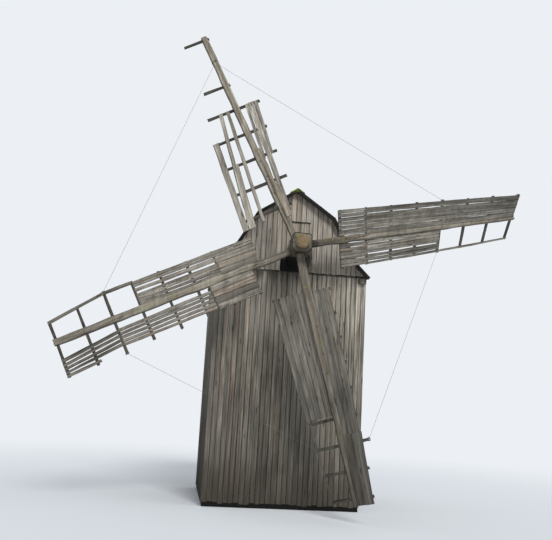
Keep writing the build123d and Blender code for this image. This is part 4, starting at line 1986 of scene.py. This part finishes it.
            warm = chance.uniform(0.3, 0.6) if index in self.warm_boards else 0.0
            tone = self.pale + self.tones.get(index, 0.0)
            timbers.add(stick, place, tone + chance.uniform(-0.8, 0.8), warm)
            for number in range(round(board.first), round(board.last) + 1):
                if self.bars[number] is None:
                    continue
                out = min(max(self.bar_place(number), start + 0.02), end - 0.02)
                share = (out - start) / (end - start)
                for side in ((-0.25, 0.25) if width > self.wide_board else (0.0,)):
                    chord = middle + drift * share + side * width
                    near = out + chance.uniform(-self.nail_wander, self.nail_wander)
                    spot = self.on_bars(near, chord, under + self.board_thickness)
                    nails.drive(spot, self.facing(out), self.nail_head)
        timbers.finish(
            f"{self.name}_cover_boards", Body.ROTOR, Slot.SAIL_BOARD, finishes["sail_board"],
            f"{self.name}_boards",
        )


JOINT = 0.06
SAILS = {
    "upper": Sail(
        name="upper", angle=115.9, length=7.8, offset=0.11, axial=-0.13,
        first_bar=1.35, heel=-8, tip=-8, seed=100,
        bars=bar_ends(
            (-380, 1330), (-610, 1320), (-660, 1270), (-700, 1205), (-820, 1030), (-160, 800),
            None, (-150, 760),
        ),
        boards=runs(
            (1205, 1405, -0.28, 3, 985, 1185), (975, 1215, -0.28, 2, 680, 870, 1),
            (980, 1120, 0.5, 4, 480, 610), (630, 750, -0.18, 4, 250, 360),
            (-260, -90, -0.2, 4, -594, -414, 1), (-505, -380, 2, 4, -745, -615),
            (-215, -105, 1.9, 4, -412, -306),
        ),
        pale=1.7, tones={4: 1.4}, whip_tone=0.9, tip_width=0.185, stock=3.45,
        stock_start=0.95, stock_width=0.19, stock_shift=-0.085,
    ),
    "left": Sail(
        name="left", angle=206.3, length=8.0, offset=0.05, axial=0.13,
        first_bar=1.78, heel=4, tip=4, seed=110,
        bars=bar_ends(
            (-955, 930), (-955, 950), (-955, 980), (-955, 1040), (-955, 1050), (-955, 1120),
            (-810, 1130), (-670, 1140),
        ),
        boards=runs(
            (-910, -805, -0.45, 4 - JOINT), (-800, -715, -0.45, 4 - JOINT),
            (-940, -832, 4 + JOINT, 5 - JOINT), (-940, -832, 5 + JOINT, 7, -665, -565),
            (-705, -500, -0.45, 1 - JOINT), (-495, -300, -0.4, 1 - JOINT),
            (-295, -105, -0.34, 1 - JOINT), (-700, -560, 1 + JOINT, 3 - JOINT),
            (-665, -560, 3 + JOINT, 4 - JOINT), (-505, -400, 1 + JOINT, 4 - JOINT),
            (-388, -325, 1 + JOINT, 4 - JOINT), (-313, -205, 1 + JOINT, 4 - JOINT),
            (-199, -105, 1 + JOINT, 4 - JOINT, -199, -88),
            (105, 300, 0, 1.5), (305, 500, 0, 1.5), (505, 700, 0, 1.5), (705, 900, 0, 1.5),
            (240, 350, 1.66, 5 - JOINT, 310, 415), (372, 480, 1.66, 5 - JOINT, 435, 530),
            (500, 610, 1.66, 5 - JOINT, 555, 650), (635, 745, 1.66, 5 - JOINT, 672, 765),
            (765, 865, 1.66, 5 - JOINT, 785, 870), (340, 450, 5 + JOINT, 7, 560, 670),
            (480, 590, 5 + JOINT, 7, 700, 800), (620, 720, 5 + JOINT, 7, 830, 920),
            (745, 850, 5 + JOINT, 7, 945, 1020), (970, 1060, 5.9, 7, 1045, 1125),
        ),
        warm_boards=(5, 10, 14, 21), pale=-0.35, whip_tone=-0.1, root=0.21, tip_width=0.19,
    ),
    "right": Sail(
        name="right", angle=12.7, length=7.38, offset=0.035, axial=0.13,
        first_bar=1.35, heel=32, tip=60, seed=120,
        bars=bar_ends(*[(-955, 985)] * 8),
        boards=runs(
            (150, 332, 0, 1 - JOINT), (338, 466, 0, 1 - JOINT), (476, 598, 0, 1 - JOINT),
            (610, 724, 0, 1 - JOINT), (740, 852, 0, 1 - JOINT), (868, 975, 0, 1 - JOINT),
            (122, 285, 1 + JOINT, 7, 82, 270), (289, 450, 1 + JOINT, 7, 274, 450),
            (455, 618, 1 + JOINT, 7), (622, 785, 1 + JOINT, 7), (800, 975, 1 + JOINT, 7),
            (-260, -128, 0, 1 - JOINT), (-400, -265, 0, 1 - JOINT), (-650, -405, 0, 1 - JOINT),
            (-790, -665, 0, 1 - JOINT), (-910, -795, 0, 1 - JOINT),
            (-215, -105, 1 + JOINT, 4 - JOINT, -215, -90), (-330, -220, 1 + JOINT, 4 - JOINT),
            (-438, -336, 1 + JOINT, 4 - JOINT), (-545, -442, 1 + JOINT, 4 - JOINT),
            (-698, -590, 1 + JOINT, 4 - JOINT), (-810, -705, 1 + JOINT, 4 - JOINT),
            (-922, -843, 1 + JOINT, 4 - JOINT), (-922, -843, 4 + JOINT, 7),
        ),
        # Board 10 is darker: a painted shade along the sail's top edge.
        warm_boards=(12, 17), tones={10: -1.3, 16: 1.2, 17: 1.2, 18: 1.2, 19: 1.2},
        pale=-0.15, stock=2.3, whip_tone=-0.4,
    ),
    "lower": Sail(
        name="lower", angle=284.0, length=7.86, offset=-0.12, axial=-0.13,
        first_bar=1.6, heel=16, tip=58, seed=130,
        bars=bar_ends(
            (-1160, 710), (-1140, 710), (-1120, 710), (-1095, 710), (-1070, 710), (-980, 710),
            (-950, 950), (-950, 770), (-950, 770),
        ),
        boards=runs(
            (-1120, -930, 0, 4.8, -1010, -830), (-920, -720, 0, 4.8, -822, -650),
            (-710, -520, 0, 4.8, -642, -470), (-510, -320, 0, 4.8, -462, -290),
            (-310, -110, 0, 4.8, -282, -108), (-910, -860, 5 + JOINT, 8),
            (134, 290, 0, 5.6, 98, 290), (295, 470, 0, 5.6), (475, 640, 0, 5.6, 475, 680),
            (105, 385, 5.72, 8.2), (390, 740, 5.72, 8.2),
        ),
        warm_boards=(9,), pale=-0.25, whip_tone=-0.8, stock=4.2,
        stock_width=0.2, stock_shift=-0.065, root=0.23,
    ),
}


WireEnd = tuple[str, Grip, float]


@dataclass
class Stay:
    """A twisted wire between two sails, with a few turns of wire round what holds each end."""

    name: str
    ends: tuple[WireEnd, WireEnd]
    radius: float = 0.005
    inset: float = 0.02
    strands: int = 3
    sides: int = 9
    step: float = 0.02
    lay: float = 0.11
    coil: float = 0.004
    groove: Span = (0.82, 0.18)
    turns: int = 3
    turn_pitch: float = 0.012
    turn_reach: float = 1.18

    def anchor(self, spot: WireEnd) -> Vector:
        """Where an end of the stay is made fast.

        Args:
            spot: the sail, how the end is held, and the bar's number or how far out on the whip.

        Returns:
            The point in the mill's frame.
        """
        sail, grip, where = spot
        if grip is Grip.WHIP:
            return SAILS[sail].whip_point(Vector((where, 0.0, 0.0)))
        holder = SAILS[sail]
        trail, lead = holder.bars[int(where)]
        chord = lead - self.inset if grip is Grip.LEAD else trail + self.inset
        out = holder.bar_place(int(where))
        return holder.on_bars(out, chord, 0.0, out)

    def holder_frame(self, spot: WireEnd) -> tuple[Vector, Vector, float]:
        """Measures the timber that an end is tied round.

        Args:
            spot: the sail, how the end is held, and the bar's number or how far out on the whip.

        Returns:
            The timber's middle there, its direction and its half width.
        """
        sail, grip, where = spot
        holder = SAILS[sail]
        middle = self.anchor(spot)
        if grip is Grip.WHIP:
            ahead = holder.whip_point(Vector((where + 1, 0.0, 0.0)))
            return middle, (ahead - middle).normalized(), holder.half_width(where)
        out = holder.bar_place(int(where))
        sign = 1 if grip is Grip.LEAD else -1
        inner = holder.on_bars(out, sign * 0.5, 0.0, out)
        return middle, (middle - inner).normalized(), holder.bar_width / 2

    def build(self, finishes: dict[str, Material]) -> None:
        """Lays up the wire and ties its ends.

        Args:
            finishes: the mill's materials by name.
        """
        mesh = bmesh.new()
        start, end = (self.anchor(spot) for spot in self.ends)
        line = end - start
        turn = line.to_track_quat("Z", "Y").to_matrix().to_4x4()
        place = Matrix.Translation(start) @ turn
        count = int(line.length / self.step)
        rings = []
        for number in range(count + 1):
            rise = line.length * number / count
            ring = []
            for side in range(self.sides):
                angle = math.tau * side / self.sides
                reach = self.radius * (self.groove[0] + self.groove[1] * math.cos(self.strands * angle))
                angle += math.tau * rise / self.lay
                ring.append(place @ Vector((math.cos(angle) * reach, math.sin(angle) * reach, rise)))
            rings.append(ring)
        draw_through(mesh, rings)
        for spot in self.ends:
            self.tie(mesh, spot)
        bmesh.ops.recalc_face_normals(mesh, faces=mesh.faces)
        for face in mesh.faces:
            face.smooth = True
        make_piece(
            mesh, f"stay_{self.name}_wire", Body.ROTOR, Slot.WIRE, [finishes["wire"]],
            f"stay_{self.name}",
        )

    def tie(self, mesh: bmesh.types.BMesh, spot: WireEnd) -> None:
        """Winds a few turns of wire round the timber at one end.

        Args:
            mesh: what the turns are added to.
            spot: the sail, how the end is held, and the bar's number or how far out on the whip.
        """
        middle, along, half = self.holder_frame(spot)
        reach = half * self.turn_reach + self.coil
        turn = along.to_track_quat("Z", "Y").to_matrix().to_4x4()
        for number in range(self.turns):
            fresh = bmesh.new()
            bmesh.ops.create_circle(fresh, cap_ends=False, radius=self.coil, segments=6)
            bmesh.ops.rotate(
                fresh, cent=(0, 0, 0), matrix=Matrix.Rotation(math.pi / 2, 3, "X"), verts=fresh.verts
            )
            bmesh.ops.translate(fresh, vec=(reach, 0, 0), verts=fresh.verts)
            bmesh.ops.spin(
                fresh, geom=fresh.verts[:] + fresh.edges[:], cent=(0, 0, 0), axis=(0, 0, 1),
                dvec=(0, 0, 0), angle=math.tau, steps=16, use_merge=True, use_duplicate=False,
            )
            back = Matrix.Translation(middle - along * (self.turn_pitch * (number - 1)))
            bmesh.ops.transform(fresh, matrix=back @ turn, verts=fresh.verts)
            pour(fresh, mesh)


STAYS = (
    Stay("upper_right", (("upper", Grip.WHIP, 6.8), ("right", Grip.LEAD, 4))),
    Stay("upper_left", (("upper", Grip.WHIP, 6.8), ("left", Grip.TRAIL, 5))),
    Stay("left_lower", (("left", Grip.LEAD, 5), ("lower", Grip.TRAIL, 6))),
    Stay("right_lower", (("right", Grip.TRAIL, 4), ("lower", Grip.LEAD, 6))),
)


# Studio


@dataclass(frozen=True)
class Studio:
    """The floor, the light and the camera at the photograph's viewing angle."""

    eye: Triple = (-3.606, -26.366, 3.244)
    yaw: float = 0.127
    pitch: float = 0.1779
    roll: float = 0.0562
    lens: float = 48.4
    sensor: float = 36.0
    floor_half: float = 150.0
    backdrop: Colour = srgb(236, 240, 244)
    world_strength: float = 0.56
    floor_fade: Span = (9.0, 32.0)
    lamps: tuple[tuple[str, float, float, Triple], ...] = (
        ("high sun", 1.62, 20.0, (-0.17, 0.86, -0.62)),
        ("side fill", 0.486, 60.0, (-0.9, 0.3, -0.5)),
    )
    farthest: float = 500.0

    def build(self) -> None:
        """Sets up everything that isn't the mill."""
        self.floor()
        self.world()
        self.light()
        self.camera()
        bpy.context.scene.view_settings.view_transform = "Standard"

    def floor(self) -> None:
        """A pale floor that fades into the background away from the mill."""
        mesh = bmesh.new()
        bmesh.ops.create_grid(mesh, x_segments=1, y_segments=1, size=self.floor_half)
        graph = MaterialGraph("pale floor")
        distance = graph.node("ShaderNodeVectorMath", {"operation": "LENGTH"}, i0=graph.position)
        far = graph.band(distance.outputs["Value"], *self.floor_fade)
        seen = graph.node("ShaderNodeLightPath").outputs["Is Camera Ray"]
        colour = (*self.backdrop, 1.0)
        matt = graph.node("ShaderNodeBsdfDiffuse", Color=colour)
        glow = graph.node("ShaderNodeEmission", Color=colour, Strength=1.0)
        material = graph.show(graph.node(
            "ShaderNodeMixShader", i0=graph.times(far, seen), i1=matt.outputs[0],
            i2=glow.outputs[0],
        ))
        make_object(mesh, "floor", [material])

    def world(self) -> None:
        """An even pale sky, whose light on the mill is weaker than what the camera sees."""
        world = bpy.data.worlds.new("pale sky")
        bpy.context.scene.world = world
        world.use_nodes = True
        world.node_tree.nodes.clear()
        graph = Graph(world.node_tree)
        path = graph.node("ShaderNodeLightPath").outputs
        seen = graph.most(path["Is Camera Ray"], path["Is Glossy Ray"])
        seen = graph.most(seen, path["Is Transmission Ray"])
        strength = graph.node("ShaderNodeMapRange", i0=seen, i3=self.world_strength, i4=1.0)
        sky = graph.node(
            "ShaderNodeBackground", Color=(*self.backdrop, 1.0), Strength=strength.outputs[0]
        )
        graph.node("ShaderNodeOutputWorld", Surface=sky.outputs[0])

    def light(self) -> None:
        """A broad soft sun, high in front of the mill, and a weak fill from its right."""
        for name, strength, angle, heading in self.lamps:
            light = bpy.data.lights.new(name, "SUN")
            light.energy = strength
            light.angle = math.radians(angle)
            lamp = bpy.data.objects.new(name, light)
            lamp.rotation_euler = Vector(heading).to_track_quat("-Z", "Y").to_euler()
            bpy.context.scene.collection.objects.link(lamp)

    def camera(self) -> None:
        """The photograph's camera."""
        level = Vector((math.sin(self.yaw), math.cos(self.yaw), 0.0))
        ahead = level * math.cos(self.pitch) + UP * math.sin(self.pitch)
        lift = UP * math.cos(self.pitch) - level * math.sin(self.pitch)
        side = Vector((math.cos(self.yaw), -math.sin(self.yaw), 0.0))
        right = side * math.cos(self.roll) + lift * math.sin(self.roll)
        top = lift * math.cos(self.roll) - side * math.sin(self.roll)
        data = bpy.data.cameras.new("camera")
        data.sensor_width = self.sensor
        data.lens = self.lens
        data.clip_end = self.farthest
        camera = bpy.data.objects.new("camera", data)
        turn = Matrix((right, top, -ahead)).transposed()
        camera.matrix_world = Matrix.Translation(Vector(self.eye)) @ turn.to_4x4()
        bpy.context.scene.collection.objects.link(camera)
        bpy.context.scene.camera = camera


def finishes() -> dict[str, Material]:
    """Makes every material of the mill.

    Returns:
        The materials by short names.
    """
    groups = {"fibre": Fibres().build(), "weather": WeatheringAndPaintedLight().build(), "moss": Moss().build()}
    woods = {
        "wall": WALL, "door": DOOR, "gable": GABLE, "roof": ROOF, "ridge": RIDGE, "verge": VERGE,
        "sail_board": SAIL_BOARD, "sail_timber": SAIL_TIMBER, "bar": BAR_TIMBER, "shaft": SHAFT,
        "end": END_GRAIN, "sill": SILL, "greased_shaded": GREASED_SHADED, "greased_shaded_log": GREASED_SHADED_LOG,
    }
    for grain, finish in FRAME_FINISHES.items():
        woods["frame_" + grain.value] = finish
    made = {name: finish.build(groups) for name, finish in woods.items()}
    for name, iron in (("band", BAND), ("nail", NAIL), ("wire", WIRE)):
        made[name] = iron.build()
    return made


def main() -> None:
    """Loads the frame, dresses the mill round it and sets up the studio."""
    logging.basicConfig(level=logging.INFO, format="%(message)s")
    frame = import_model()
    looks = finishes()
    profile = RoofProfile()
    house_nails, sail_nails = Nails(5), Nails(6)
    House(profile, looks, house_nails).build()
    FrontGable(profile, looks, house_nails).build()
    BackGable(profile, looks, house_nails).build()
    Roof(profile, looks).build()
    FrameTimbers(looks).build(frame)
    Windshaft(looks).build()
    dress(frame, "head_bands", looks["band"])
    for sail in SAILS.values():
        sail.build(looks, sail_nails)
    for stay in STAYS:
        stay.build(looks)
    make_piece(house_nails.mesh, "house_nails", Body.HOUSE, Slot.IRON, [looks["nail"]])
    make_piece(sail_nails.mesh, "sail_nails", Body.ROTOR, Slot.IRON, [looks["nail"]])
    Studio().build()
    bpy.context.view_layer.update()


if __name__ == "__main__":
    main()
